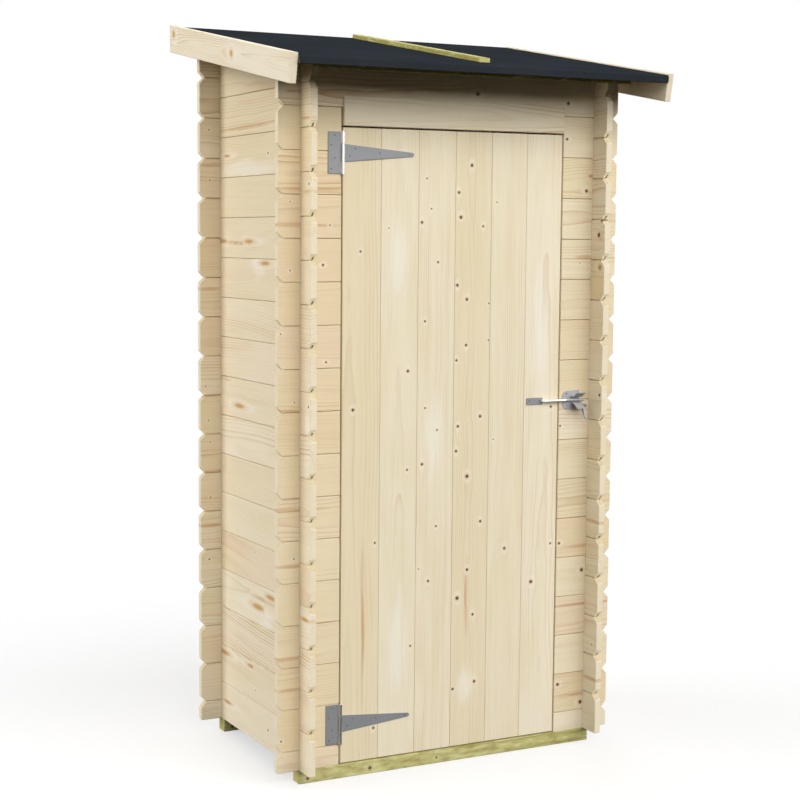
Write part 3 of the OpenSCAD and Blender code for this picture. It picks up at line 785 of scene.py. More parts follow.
BACK_WALL = dict(
    rows=(
        (0, 0, 0.8), (0, 0.2, 0.6), (0.2, 0.25, 0.8), (0, 0, 0.6), (0, 0, 1), (0.1, 0.05, 0.6),
        (0.1, 0.35, 0.6), (0.35, 0.25, 0.8), (0.6, 0.1, 0.6), (0, 0.1, 0.8), (0.4, 0.5, 0.6),
        (0.25, 0.25, 0.6), (0.65, 0.35, 0.6), (0.4, 0.4, 0.35), (0, 0.5, 1), (0, 0.05, 1),
    ),
    knots={4: [(-505, 84, 2.6)], 6: [(-500, 39, 2.4)], 7: [(-501, 89, 2)], 8: [(-506, 39, 2)],
           9: [(-515, 25, 2)], 14: [(-500, 50, 2)], 15: [(-502, 80, 2)]},
    streaks={5: [(-500, 70, 60)], 8: [(-500, 108, 60)], 11: [(-500, 80, 60)]},
)
FRONT_LEFT = dict(
    rows=(
        (0.4, 0.35, 0.6), (0.95, 0.3, 0.3), (0.8, 0.3, 0.6), (0.6, 0.2, 1.1), (0.75, 0.1, 0.4),
        (0.65, 0.15, 0.35), (0.55, 0.3, 1.1), (0.8, 0.3, 0.5), (1, 0.3, 0.5), (0.9, 0.3, 0.5),
        (0.6, 0.55, 0.4), (1, 0.4, 0.4), (1, 0.55, 0.3), (1, 0.5, 0.6), (1, 0.4, 1.1), (1, 0.3, 0.3),
    ),
    knots={
        1: [(-520, 31, 2.6)], 5: [(-483, 66, 2.2)], 9: [(-483, 27, 2)], 10: [(-522, 93, 2), (-391, 16, 3)],
        12: [(-496, 30, 2.2), (-401, 44, 3.5)], 13: [(-496, 94, 2), (-381, 34, 2.5)],
    },
    streaks={2: [(-500, 52, 60)], 3: [(-497, 28, 120)], 5: [(-489, 47, 60)], 6: [(-498, 85, 140)],
             9: [(-480, 3, 70)], 13: [(-470, 32, 140)], 14: [(-450, 12, 150)]},
)
FRONT_RIGHT = dict(
    rows=(
        (0, 0.1, 0.6), (0.95, 0.3, 1), (0.4, 0, 1), (0.3, 0.5, 1), (0.45, 0.05, 0.35), (1, 0.4, 0.35),
        (0.7, 0.2, 0.6), (0.55, 0.15, 0.8), (0.05, 0.15, 1), (0.8, 0.25, 0.35), (0.8, 0.3, 0.35),
        (0.6, 0.2, 0.35), (0.4, 0.05, 1), (0.4, 0.1, 0.8), (0.8, 0.15, 0.8), (0.3, 0.3, 0.6),
    ),
    knots={
        1: [(360, 83, 5), (440, 22, 6)], 4: [(436, 72, 5.5)], 5: [(356, 42, 4)], 8: [(353, 40, 3)],
        12: [(410, 47, 1.8)], 14: [(428, 22, 5), (442, 64, -5), (458, 88, 3.5)], 15: [(359, 51, 4)],
    },
    streaks={1: [(430, 50, 90)], 3: [(430, 84, 160)], 5: [(440, 30, 90)], 12: [(425, 66, 40)]},
)
FRONT_TOP = dict(rows=((0.3, 0.25, 1.0),), knots={16: [(66, 50, 5.5), (361, 36, 5)]})

side_wall("left_wall_boards", "left_wall", -1, 11, LEFT_WALL, 560.0, 2000.0)
side_wall("right_wall_boards", "right_wall", 1, 12, RIGHT_WALL, 40.0, 420.0)
cross_wall("back_wall_boards", "back_wall", BACK_Y, -1, range(WALL_ROWS), 13, -LOG_X, LOG_X, (True, True),
           BACK_WALL, -440.0)
cross_wall("front_left_boards", "front_wall_left", FRONT_Y, 1, range(FRONT_ROWS), 14, -LOG_X, -OPEN_X,
           (True, False), FRONT_LEFT)
cross_wall("front_right_boards", "front_wall_right", FRONT_Y, 1, range(FRONT_ROWS), 15, OPEN_X, LOG_X,
           (False, True), FRONT_RIGHT)
cross_wall("front_top_board", "front_wall_top", FRONT_Y, 1, [FRONT_ROWS], 16, -LOG_X, LOG_X, (True, True),
           FRONT_TOP)

# ---------------------------------------------------------------------------
# Squared timbers
# ---------------------------------------------------------------------------


def inset_ring(points, d):
    """A closed convex profile with every side moved inwards by d."""
    n = len(points)
    turn = sum(points[i - 1][0] * points[i][1] - points[i][0] * points[i - 1][1] for i in range(n))
    s = math.copysign(1.0, turn)
    out = []
    for i in range(n):
        p, c, q = (Vector(points[j % n]) for j in (i - 1, i, i + 1))
        a, b = (c - p).normalized(), (q - c).normalized()
        na, nb = Vector((-a.y, a.x)) * s, Vector((-b.y, b.x)) * s
        out.append(c + (na + nb) * (d / max(0.3, 1.0 + na.dot(nb))))
    return out


def bevelled(points, b):
    """A closed profile with each corner cut by b."""
    out = []
    n = len(points)
    for i in range(n):
        p, c, q = (Vector(points[j % n]) for j in (i - 1, i, i + 1))
        out.append(c + (p - c).normalized() * b)
        out.append(c + (q - c).normalized() * b)
    return out


def profile_stations(points, u0, u1, b, splits=(), end_cut=0.7):
    """Stations of one (v, w) profile from u0 to u1, its corners bevelled by b and its ends by a part of b."""
    ring = bevelled(points, b)
    small = inset_ring(ring, b * end_cut)
    marks = {u0, u0 + b, u1 - b, u1} | {k for k in splits if u0 + b < k < u1 - b}
    return [[(u, p[0], p[1]) for p in (small if u in (u0, u1) else ring)] for u in sorted(marks)]


def squared(width, thick):
    """Corners (v, w) of a squared timber, from its foot towards its inner face."""
    return [(0, 0), (0, thick), (width, thick), (width, 0)]


def laid_flat(width, thick):
    """Corners (v, w) of a squared timber that lies on the slope, round the other way."""
    return [(0, 0), (width, 0), (width, thick), (0, thick)]


# ---------------------------------------------------------------------------
# Door, frame and floor
# ---------------------------------------------------------------------------

# The door's boards from the left: depth of tone, warmth, strength of figure, pith, knots, pale patches and
# streaks of heartwood, counted up from the door's foot
DOOR_LOOKS = (
    (0.60, 0.06, 0.4, (20, 60, 0.010),
     [(86, 101, 5), (600, 102, 4), (965, 33, 5.5), (1387, 53, 4)],
     [], [(378, 66, 250)]),
    (0.20, 0.02, 0.35, (60, -70, 0.012),
     [(303, 100, 4), (794, 85, 4), (1064, 85, 5), (1449, 23, 2.5)],
     [(310, 57, 170), (1370, 54, 130)], []),
    (0.18, 0.03, 0.5, (-10, 40, 0.0),
     [(480, 40, 4.5), (516, 9, 2.5), (632, 63, 4), (807, 17, 5), (899, 63, 3.5), (961, 25, 3.5),
      (1198, 22, 4), (1358, 61, 4), (1465, 10, 5), (1502, 39, 3), (1583, 24, 3)],
     [(885, 56, 140)], []),
    (0.55, 0.06, 0.7, (52, 26, 0.0),
     [(165, 8, 5), (179, 78, 5.5), (372, 70, 5), (423, 19, 7), (501, 50, 5.5), (635, 91, 5),
      (765, 46, 7), (837, 10, 5), (906, 15, 5), (931, 86, 5.5), (1089, 8, 4.5), (1130, 38, 5),
      (1142, 110, 3), (1244, 110, 3), (1256, 39, 5.5), (1295, 8, 5.5), (1456, 88, 4), (1480, 17, 6),
      (1547, 10, 5), (1621, 50, 6)],
     [(170, 51, 60)], [(421, 50, 125)]),
    (0.30, 0.03, 0.4, (130, 45, -0.008),
     [(552, 57, 5.5), (864, 15, 2.5), (1522, 17, 2.5)],
     [], []),
    (0.05, 0.00, 0.4, (70, -60, 0.010),
     [(448, 33, 6.5), (554, 97, 4), (948, 91, 5)],
     [(1165, 47, 210)], []),
)
# The door's knots are drawn at this part of their radius, and each board has the next seed
DOOR_KNOT = 0.8
DOOR_SEED, SEED_STEP = 0.13, 0.15
BRACE_W = 70.0
# A stop lip stands behind the wall's cut ends, with this gap before the post's face
STOP_GAP = 5.0
POST_FACE = 39
FLOOR_PLANKS = 9
PLANK_SEAM, PLANK_GROOVE, PLANK_TONGUE = 0.7, 4.0, 3.5


def door_leaf():
    """Boards that stand on end, tongued together."""
    lo, hi = box_mm("door_boards")
    door = Timber("door_leaf_boards", 21)
    board_w = (hi.x - lo.x) / len(DOOR_LOOKS)
    for i, (depth, warmth, strength, pith, knots, pale, streak) in enumerate(DOOR_LOOKS):
        first, final = i == 0, i == len(DOOR_LOOKS) - 1
        stations = plain_stations(0.0, hi.z - lo.z, board_w - (0.0 if final else DOOR_SEAM), hi.y - lo.y,
                                  0.0 if first else GROOVE, 0.0 if final else TONGUE,
                                  between(knots, pale, streak))
        knots = [(u, v, r * DOOR_KNOT) for u, v, r in knots]
        door.loft(lambda u, v, w: (lo.x + i * board_w + v, lo.y + w, lo.z + u), stations, knots,
                  (DOOR_SEED + SEED_STEP * i, depth, warmth), pith, strength, pale, streak)
    door.finish(SPRUCE, "door", "spruce", "door_boards")


def door_ledge(node, seed):
    """A level board behind the door, with broad bevels."""
    lo, hi = box_mm(node)
    ledge = Timber(node + "_board", seed)
    knots = random_knots(ledge.luck, 0, hi.x - lo.x, hi.z - lo.z)
    stations = profile_stations(squared(hi.z - lo.z, hi.y - lo.y), 0, hi.x - lo.x, 2.0, between(knots))
    ledge.loft(lambda u, v, w: (lo.x + u, hi.y - w, lo.z + v), stations, knots)
    ledge.finish(SPRUCE, "door", "spruce", node)


def door_brace(node, seed):
    """A brace leans from the hinge side up to the ledge above it, its ends cut level."""
    lo, hi = box_mm(node)
    brace = Timber(node + "_board", seed)
    lean, rise = hi.x - lo.x - BRACE_W, hi.z - lo.z
    knots = random_knots(brace.luck, 0, rise, BRACE_W)
    stations = profile_stations(squared(BRACE_W, hi.y - lo.y), 0, rise, 1.0, between(knots))
    brace.loft(lambda u, v, w: (lo.x + lean * u / rise + v, hi.y - w, lo.z + u), stations, knots)
    brace.finish(SPRUCE, "door", "spruce", node)


def door_header():
    """A rebated board over the door, whose lip laps the board above."""
    lo, hi = box_mm("door_header")
    header = Timber("door_header_board", 27)
    proud, deep = FRONT_Y - lo.y, hi.y - lo.y
    high, step = hi.z - lo.z, top_lo.z - lo.z
    profile = [(0, 0), (0, deep), (step, deep), (step, proud), (high, proud), (high, 0)]
    stations = profile_stations(profile, 0, hi.x - lo.x, 1.5)
    header.loft(lambda u, v, w: (lo.x + u, lo.y + w, lo.z + v), stations, look=(0.4, 0.3, 0.1),
                pith=(36, 26, 0.03), figure=1.0)
    header.finish(SPRUCE, "shed", "spruce", "door_header")


def door_post(node, side, seed):
    """A post behind the wall's cut ends, with a stop lip."""
    lo, hi = box_mm(node)
    post = Timber(node + "_timber", seed)
    knots = random_knots(post.luck, 0, hi.z - lo.z, POST_FACE, large=5.0)
    near, far = (lo.x, hi.x) if side > 0 else (-hi.x, -lo.x)
    wide, deep, lip = far - near, hi.y - lo.y, OPEN_X - near
    profile = [(wide, 0), (wide, deep), (0, deep), (0, STOP_GAP), (lip, STOP_GAP), (lip, 0)]
    post.loft(lambda u, v, w: (side * (near + v), lo.y + w, lo.z + u),
              profile_stations(profile, 0, hi.z - lo.z, 1.0, between(knots)), knots)
    post.finish(SPRUCE, "shed", "spruce", node)


def floor_planks():
    """Tongued planks that span from bearer to bearer."""
    lo, hi = box_mm("floor_boards")
    floor = Timber("floor_planks", 31)
    plank_w = (hi.x - lo.x) / FLOOR_PLANKS
    for i in range(FLOOR_PLANKS):
        final = i == FLOOR_PLANKS - 1
        knots = random_knots(floor.luck, 0, hi.y - lo.y, plank_w)
        stations = plain_stations(0.0, hi.y - lo.y, plank_w - (0.0 if final else PLANK_SEAM), hi.z - lo.z,
                                  PLANK_GROOVE if i else 0.0, 0.0 if final else PLANK_TONGUE, between(knots))
        floor.loft(lambda u, v, w: (lo.x + i * plank_w + v, lo.y + u, hi.z - w), stations, knots)
    floor.finish(SPRUCE, "shed", "spruce", "floor_boards")


door_leaf()
for node, seed in (("door_ledge_top", 22), ("door_ledge_middle", 23), ("door_ledge_bottom", 24)):
    door_ledge(node, seed)
for node, seed in (("door_brace_upper", 25), ("door_brace_lower", 26)):
    door_brace(node, seed)
door_header()
for node, side, seed in (("left_door_post", -1, 28), ("right_door_post", 1, 29)):
    door_post(node, side, seed)
floor_planks()

# ---------------------------------------------------------------------------
# Roof
# ---------------------------------------------------------------------------

DECK_BOARDS = 10
# The felt is folded round the deck's front edge, where its lower edge is eased and lifts at the corners
FOLD_R, FOLD_STEPS = 5.0, 6
FELT_EDGE = 0.8
CURL_R = 6.0
CURL_STOPS = (1.0, 3.0, 6.0)
FELT_STRIPS = 48
# Barge boards stand on edge beside the deck, their top this far above its underside
BARGE_W, BARGE_TOP = 76.0, DECK_T + FELT_T + 3.5
BARGE_BEVEL, BARGE_END_CUT = 1.2, 0.75
# Knots of a barge board: from the front wall, over the deck's underside, and radius
BARGE_KNOTS = ((192.0, -12.2, 9.5), (619.0, 2.4, 10.0))
BATTEN_W, BATTEN_T = 34.0, 12.0
# Knots of a bearer near its left end, and where the knots by chance begin
BEARER_KNOTS = [(26, 13, 4), (215, 16, 5)]
BEARER_CHANCE = 300


def on_slope(x_of, lift_of):
    """Places u = plan distance up the slope, v and w in a frame that is sheared along the roof."""
    return lambda u, v, w: (x_of(v, w), u, under(u) + lift_of(v, w) * PLUMB)


def roof_deck():
    """Tongued boards that run up the slope."""
    lo, hi = box_mm("roof_deck")
    deck = Timber("roof_deck_boards", 32)
    board_w = (hi.x - lo.x) / DECK_BOARDS
    for i in range(DECK_BOARDS):
        final = i == DECK_BOARDS - 1
        knots = random_knots(deck.luck, lo.y, hi.y, board_w)
        stations = plain_stations(lo.y, hi.y, board_w - (0.0 if final else SEAM), DECK_T,
                                  GROOVE if i else 0.0, 0.0 if final else TONGUE, between(knots))
        place = on_slope(lambda v, w: lo.x + i * board_w + v, lambda v, w: DECK_T - w)
        deck.loft(place, stations, knots)
    # The deck takes the darkened spruce, painted shade on its underside under the eaves
    deck.finish(SHADE_DARKENED_SPRUCE, "shed", "spruce", "roof_deck")


def felt_profile(front, back, rise):
    """The felt's section in (Y, Z) between two places; rise lifts the fold's lower edge."""
    inner = front + FELT_T
    foot = under(inner) + rise
    drop = FELT_T * PLUMB

    def top(y):
        return under(y) + (DECK_T + FELT_T) * PLUMB

    points = [(front + FELT_EDGE, foot), (front, foot + FELT_EDGE), (front, top(front) - FOLD_R)]
    for k in range(1, FOLD_STEPS):
        t = math.radians(90 * k / FOLD_STEPS)
        y = front + FOLD_R * (1 - math.cos(t))
        points.append((y, top(y) - FOLD_R * (1 - math.sin(t))))
    points += [(y, top(y)) for y in (front + FOLD_R, back)]
    return points + [(back, top(back) - drop), (inner, top(inner) - drop), (inner, foot)]


def roof_felt():
    """One sheet up the slope, folded round the deck's front edge."""
    lo, hi = box_mm("roof_felt")
    stops = {lo.x + (hi.x - lo.x) * k / FELT_STRIPS for k in range(FELT_STRIPS + 1)}
    stops |= {edge + d * s for edge, d in ((lo.x, 1), (hi.x, -1)) for s in CURL_STOPS}
    bm = bmesh.new()
    rings = []
    for x in sorted(stops):
        edge = min(x - lo.x, hi.x - x)
        curl = CURL_R - math.sqrt(max(0.0, CURL_R ** 2 - max(0.0, CURL_R - edge) ** 2))
        wave = 0.5 + 0.5 * math.sin(x * 0.021) * math.sin(x * 0.0073 + 1.0)
        profile = felt_profile(lo.y, hi.y, curl + wave)
        rings.append([bm.verts.new(Vector((x, y, z)) * MM) for y, z in profile])
    skin(bm, rings)
    finish_piece(bm, "roof_felt_sheet", (FELT,), "shed", "roofing_felt", "roof_felt")


def barge_board(node, side, seed):
    """A board on edge beside the deck: square at the front, plumb at the back."""
    lo, hi = box_mm(node)
    barge = Timber(node + "_timber", seed)
    low = BARGE_TOP - BARGE_W
    knots = [(FRONT_Y + u, v - low, r) for u, v, r in BARGE_KNOTS]
    lean = BARGE_W * SLOPE / PLUMB
    profile = laid_flat(BARGE_W, hi.x - lo.x)
    stations = profile_stations(profile, lo.y, hi.y, BARGE_BEVEL, between(knots), BARGE_END_CUT)
    for ring in stations[:2]:
        ring[:] = [(u + lean * (1 - v / BARGE_W), v, w) for u, v, w in ring]
    outer = hi.x if side > 0 else -lo.x
    barge.loft(on_slope(lambda v, w: side * (outer - w), lambda v, w: low + v), stations, knots,
               (0.3, 0.0, 0.0), (38, 16, 0.03), 1.0)
    barge.finish(SPRUCE, "shed", "spruce", node)


def bearer(node, seed):
    """A treated beam across the shed, under the floor."""
    lo, hi = box_mm(node)
    beam = Timber(node + "_timber", seed)
    length, deep, high = hi.x - lo.x, hi.y - lo.y, hi.z - lo.z
    knots = BEARER_KNOTS + random_knots(beam.luck, BEARER_CHANCE, length, high, every=260.0, large=5.0)
    stations = profile_stations(squared(high, deep), 0, length, 1.5, between(knots))
    beam.loft(lambda u, v, w: (lo.x + u, lo.y + w, lo.z + v), stations, knots, (0.3, 0.25, 0.0),
              (20, 50, 0.004), 1.2)
    beam.finish(TREATED, "shed", "treated_pine", node)


def eaves_batten():
    """A batten flat under the deck's front edge."""
    lo, hi = box_mm("eaves_batten")
    batten = Timber("eaves_batten_timber", 43)
    batten.loft(lambda u, v, w: (lo.x + u, lo.y + v, under(lo.y + v) - w * PLUMB),
                profile_stations(laid_flat(BATTEN_W, BATTEN_T), 0, hi.x - lo.x, 1.0), look=(0.5, 1.0, 0.0))
    batten.finish(TREATED, "shed", "treated_pine", "eaves_batten")


def roof_lath():
    """A lath up the slope, over the felt's lap."""
    lo, hi = box_mm("roof_lath")
    lath = Timber("roof_lath_timber", 44)
    knots = random_knots(lath.luck, lo.y, hi.y, BATTEN_W, every=120.0, large=4.5)
    stations = profile_stations(laid_flat(hi.x - lo.x, BATTEN_T), lo.y, hi.y, 1.0, between(knots))
    lath.loft(on_slope(lambda v, w: lo.x + v, lambda v, w: DECK_T + FELT_T + w), stations, knots,
              (1.0, 0.0), figure=1.6)
    lath.finish(TREATED, "shed", "treated_pine", "roof_lath")


roof_deck()
roof_felt()
for node, side, seed in (("left_barge_board", -1, 33), ("right_barge_board", 1, 34)):
    barge_board(node, side, seed)
for node, seed in (("front_bearer", 41), ("rear_bearer", 42)):
    bearer(node, seed)
eaves_batten()
roof_lath()

# ---------------------------------------------------------------------------
# Ironwork
# ---------------------------------------------------------------------------

HINGE_T = 2.5
LATCH_T = 2.0
# Corners of the plates, and the eased front edge of every sheet
CORNER = 2.0
SHEET_EDGE = 0.5
# A rolled knuckle: how far from the pin the flat sheet starts, the bore's radius, the overlap with the
# sheet, the gap to the next knuckle, and its turn in degrees
KNUCKLE_GAP = 5.2
KNUCKLE_BORE = 2.6
KNUCKLE_ROOT = 0.5
KNUCKLE_CLEAR = 1.0
ROLL_TURN, ROLL_STEPS = 300.0, 26
# The strap tapers to a round tip, an arc of TIP_TURN degrees to each side
STRAP_TIP_R = 5.5
TIP_TURN, TIP_STEPS = 82, 12
# The latch bar stands out of its plate at BEND_X, turns along the door, and past the last place below takes a
# duller sheet, painted shade between the keeper's jaws; the plate reaches PLATE_HALF up and down, and a
# little past the bar
PLATE_HALF, PLATE_PAST = 10, 4
BAR_R, BAR_TIP = 3.6, 0.72
BEND_X, BEND_R, BEND_STEPS = 287.0, 5.0, 6
BAR_ROOT = 0.6
BAR_SIDES = 16
JAW_SHADE_X = 363.0


def middle(lo, hi):
    return (lo + hi) / 2


def stack(bm, rings, material=0):
    """Joins closed rings of points, in millimetres, into a closed solid."""
    faces = skin(bm, [[bm.verts.new(Vector(p) * MM) for p in ring] for ring in rings])
    for f in faces:
        f.material_index = material
    return faces


def sheet_on_face(bm, outline, thick):
    """A sheet metal blank on the front face, its outline in (X, Z), the front edges eased."""
    front = FRONT_Y - thick
    layers = ((FRONT_Y, outline), (front + SHEET_EDGE, outline), (front, inset_ring(outline, SHEET_EDGE)))
    stack(bm, [[(p[0], y, p[1]) for p in ring] for y, ring in layers])


def plate(x0, x1, z, half):
    """Outline in (X, Z) of a plate with cut corners."""
    return bevelled([(x0, z - half), (x1, z - half), (x1, z + half), (x0, z + half)], CORNER)


def rolled(bm, pin, side, root_x, z0, z1, r_out):
    """Sheet that comes along the face from root_x and is rolled round the pin, from z0 to z1."""
    x0, y0 = pin

    def wrap(r, steps):
        turns = [math.radians(-ROLL_TURN * k / ROLL_STEPS) for k in steps]
        return [(x0 + side * r * math.sin(a), y0 + r * math.cos(a)) for a in turns]

    ring = wrap(r_out, range(ROLL_STEPS + 1)) + wrap(KNUCKLE_BORE, range(ROLL_STEPS, 0, -1))
    back = FRONT_Y - HINGE_T
    ring += [(x0 + side * KNUCKLE_BORE * 0.5, back), (root_x, back), (root_x, FRONT_Y)]
    for f in stack(bm, [[(p[0], p[1], z) for p in ring] for z in (z0, z1)], 1):
        if abs(f.calc_center_median().x / MM - x0) > r_out + 0.1:
            f.material_index = 0


def hinge(level):
    """A T-hinge: the plate on the wall with two knuckles, and the tapered strap on the door with one."""
    plate_lo, plate_hi = box_mm(level + "_hinge_plate")
    strap_lo, strap_hi = box_mm(level + "_hinge_strap")
    pin_lo, pin_hi = box_mm(level + "_hinge_pin")
    pin = (middle(pin_lo.x, pin_hi.x), middle(pin_lo.y, pin_hi.y))
    knuckle_r = plate_hi.x - pin[0]
    mid = middle(strap_lo.z, strap_hi.z)
    root = (strap_hi.z - strap_lo.z) / 2
    half = (plate_hi.z - plate_lo.z) / 2
    arm = half - root - KNUCKLE_CLEAR

    bm = bmesh.new()
    edge_x = pin[0] - KNUCKLE_GAP
    sheet_on_face(bm, plate(plate_lo.x, edge_x, mid, half), HINGE_T)
    for z0, z1 in ((mid - half, mid - half + arm), (mid + half - arm, mid + half)):
        rolled(bm, pin, -1, edge_x - KNUCKLE_ROOT, z0, z1, knuckle_r)
    node = level + "_hinge_plate"
    finish_piece(bm, node + "_sheet", (STEEL, BRIGHT), "shed", "galvanised_steel", node)

    bm = bmesh.new()
    root_x = pin[0] + KNUCKLE_GAP
    tip_x = strap_hi.x - STRAP_TIP_R
    turns = [math.radians(-TIP_TURN + 2 * TIP_TURN * k / TIP_STEPS) for k in range(TIP_STEPS + 1)]
    tip = [(tip_x + STRAP_TIP_R * math.cos(a), mid + STRAP_TIP_R * math.sin(a)) for a in turns]
    sheet_on_face(bm, [(root_x, mid - root)] + tip + [(root_x, mid + root)], HINGE_T)
    rolled(bm, pin, 1, root_x + KNUCKLE_ROOT, mid - root, mid + root, knuckle_r)
    node = level + "_hinge_strap"
    finish_piece(bm, node + "_sheet", (STEEL, BRIGHT), "door", "galvanised_steel", node)


def dress(node, material):
    """A construction piece whose shape is right takes its finish."""
    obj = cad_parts[node]
    obj.data.materials.clear()
    obj.data.materials.append(material)


def latch_bar():
    """The striker's plate on the door and the round bar that is bent out of it."""
    lo, hi = box_mm("latch_striker")
    mid = middle(lo.z, hi.z)
    bar_y = lo.y + BAR_R
    bm = bmesh.new()
    sheet_on_face(bm, plate(lo.x, BEND_X + PLATE_PAST, mid, PLATE_HALF), LATCH_T)
    # The bar's middle line as (X, Y, turn in degrees): out of the plate, round the bend, then along the door
    spine = [(BEND_X, FRONT_Y - BAR_ROOT, 0.0), (BEND_X, bar_y + BEND_R, 0.0)]
    for k in range(1, BEND_STEPS):
        a = math.radians(90 * k / BEND_STEPS)
        x, y = BEND_X + BEND_R * (1 - math.cos(a)), bar_y + BEND_R * (1 - math.sin(a))
        spine.append((x, y, math.degrees(a)))
    spine += [(x, bar_y, 90.0) for x in (BEND_X + BEND_R, JAW_SHADE_X, hi.x - 1.0, hi.x)]
    rings = []
    for x, y, turn in spine:
        r = BAR_R * (BAR_TIP if x == hi.x else 1.0)
        a = math.radians(turn)
        ring = []
        for k in range(BAR_SIDES):
            b = math.radians(360.0 / BAR_SIDES * k)
            ring.append((x - r * math.cos(b) * math.cos(a), y - r * math.cos(b) * math.sin(a),
                         mid + r * math.sin(b)))
        rings.append(ring)
    # The bar's end takes the duller keeper sheet: painted shade between the keeper's jaws
    stack(bm, rings[:-2], 1)
    stack(bm, rings[-3:], 2)
    finish_piece(bm, "latch_striker_bar", (STEEL, BRIGHT, KEEPER_LIGHT_AND_BAR_SHADE), "door", "galvanised_steel",
                 "latch_striker")


for level in ("top", "bottom"):
    hinge(level)
# The keeper and lever take the lighter sheet, painted light against the shade of the wall's corner
for node in ("latch_keeper", "latch_lever"):
    dress(node, KEEPER_LIGHT_AND_BAR_SHADE)
for node in ("top_hinge_pin", "bottom_hinge_pin", "latch_pivot"):
    dress(node, BRIGHT)
latch_bar()

# ---------------------------------------------------------------------------
# Screws
# ---------------------------------------------------------------------------

HEAD_R, HEAD_H = 3.4, 1.7
# Parts of the head's radius: its flat top, the length and width of a slot, and how far in the recess reaches
HEAD_TOP, SLOT_LONG, SLOT_WIDE, RECESS_REACH = 0.66, 1.05, 0.24, 0.60
# Parts of the head's height: the middle of the slots, a hair between the two, and the recess's rim
SLOT_LIFT, SLOT_HAIR, RECESS_RIM = 1.05, 0.01, 0.97
HEAD_SIDES = 20
HEAD_SINK = 0.2
# A head turns by up to this many radians
TURN_MAX = 3.0


def screw_tree():
    """Pan-head screws on the points of a mesh: each head has a cross recess and its own turn."""
    tree = bpy.data.node_groups.new("pan_head_screws", "GeometryNodeTree")
    face = tree.interface
    face.new_socket("Geometry", in_out="INPUT", socket_type="NodeSocketGeometry")
    for label, kind, value in (("Head Radius", FLOAT, HEAD_R * MM), ("Head Height", FLOAT, HEAD_H * MM),
                               ("Seed", "NodeSocketInt", 5)):
        face.new_socket(label, in_out="INPUT", socket_type=kind).default_value = value
    for label in ("Metal", "Recess"):
        face.new_socket(label, in_out="INPUT", socket_type="NodeSocketMaterial")
    face.new_socket("Geometry", in_out="OUTPUT", socket_type="NodeSocketGeometry")
    net = Net(tree)
    given, out = net.add("NodeGroupInput").outputs, net.add("NodeGroupOutput").inputs
    radius, height = given["Head Radius"], given["Head Height"]
    m = net.math

    # The head is a cone with its cross recess cut out
    cone = net.add("GeometryNodeMeshCone", {
        "Vertices": HEAD_SIDES, "Radius Top": m("MULTIPLY", radius, HEAD_TOP), "Radius Bottom": radius,
        "Depth": height})
    slots = net.add("GeometryNodeJoinGeometry")
    for turn in (0.0, math.pi / 2):
        size = net.join(m("MULTIPLY", radius, SLOT_LONG), m("MULTIPLY", radius, SLOT_WIDE), height)
        bar = net.add("GeometryNodeMeshCube", {"Size": size})
        lift = net.join(0.0, 0.0, m("MULTIPLY", height, SLOT_LIFT + SLOT_HAIR * turn))
        turned = net.add("GeometryNodeTransform", {
            "Geometry": bar.outputs["Mesh"], "Translation": lift, "Rotation": (0.0, 0.0, turn)})
        tree.links.new(turned.outputs["Geometry"], slots.inputs["Geometry"])
    cut = net.add("GeometryNodeMeshBoolean", operation="DIFFERENCE")
    net.put(cut.inputs["Mesh 1"], cone.outputs["Mesh"])
    net.put(cut.inputs["Mesh 2"], slots.outputs["Geometry"])
    place = net.add("GeometryNodeInputPosition").outputs[0]
    kept = net.add("GeometryNodeStoreNamedAttribute", data_type="FLOAT_VECTOR", domain="POINT")
    for key, value in (("Geometry", cut.outputs["Mesh"]), ("Name", "within"), ("Value", place)):
        net.put(kept.inputs[key], value)

    # Each head gets a turn of its own about the screw
    luck = net.add("FunctionNodeRandomValue", data_type="FLOAT")
    net.put(luck.inputs[3], TURN_MAX)
    net.put(luck.inputs["Seed"], given["Seed"])
    euler = net.join(math.pi / 2, 0.0, 0.0)
    spin = net.add("FunctionNodeRotateEuler", rotation_type="EULER", space="LOCAL")
    net.put(spin.inputs[0], euler)
    net.put(spin.inputs["Rotate By"], net.join(0.0, 0.0, luck.outputs[1]))
    scatter = net.add("GeometryNodeInstanceOnPoints")
    for key, value in (("Points", given["Geometry"]), ("Instance", kept.outputs["Geometry"]),
                       ("Rotation", spin.outputs[0])):
        net.put(scatter.inputs[key], value)

    # Metal all over, then painted shade, a near-black colour, down in the recess
    real = net.add("GeometryNodeRealizeInstances", {"Geometry": scatter.outputs["Instances"]})
    metal = net.add("GeometryNodeSetMaterial", {
        "Geometry": real.outputs["Geometry"], "Material": given["Metal"]})
    within = net.add("GeometryNodeInputNamedAttribute", data_type="FLOAT_VECTOR")
    net.put(within.inputs["Name"], "within")
    x, y, z = net.split(within.outputs["Attribute"])
    far = m("SQRT", m("MULTIPLY_ADD", x, x, m("MULTIPLY", y, y)))
    deep = m("LESS_THAN", z, m("MULTIPLY", height, RECESS_RIM))
    inner = m("MULTIPLY", deep, m("LESS_THAN", far, m("MULTIPLY", radius, RECESS_REACH)))
    recess = net.add("GeometryNodeSetMaterial", {
        "Geometry": metal.outputs["Geometry"], "Selection": inner, "Material": given["Recess"]})
    net.put(out["Geometry"], recess.outputs["Geometry"])
    return tree


SCREWS = screw_tree()


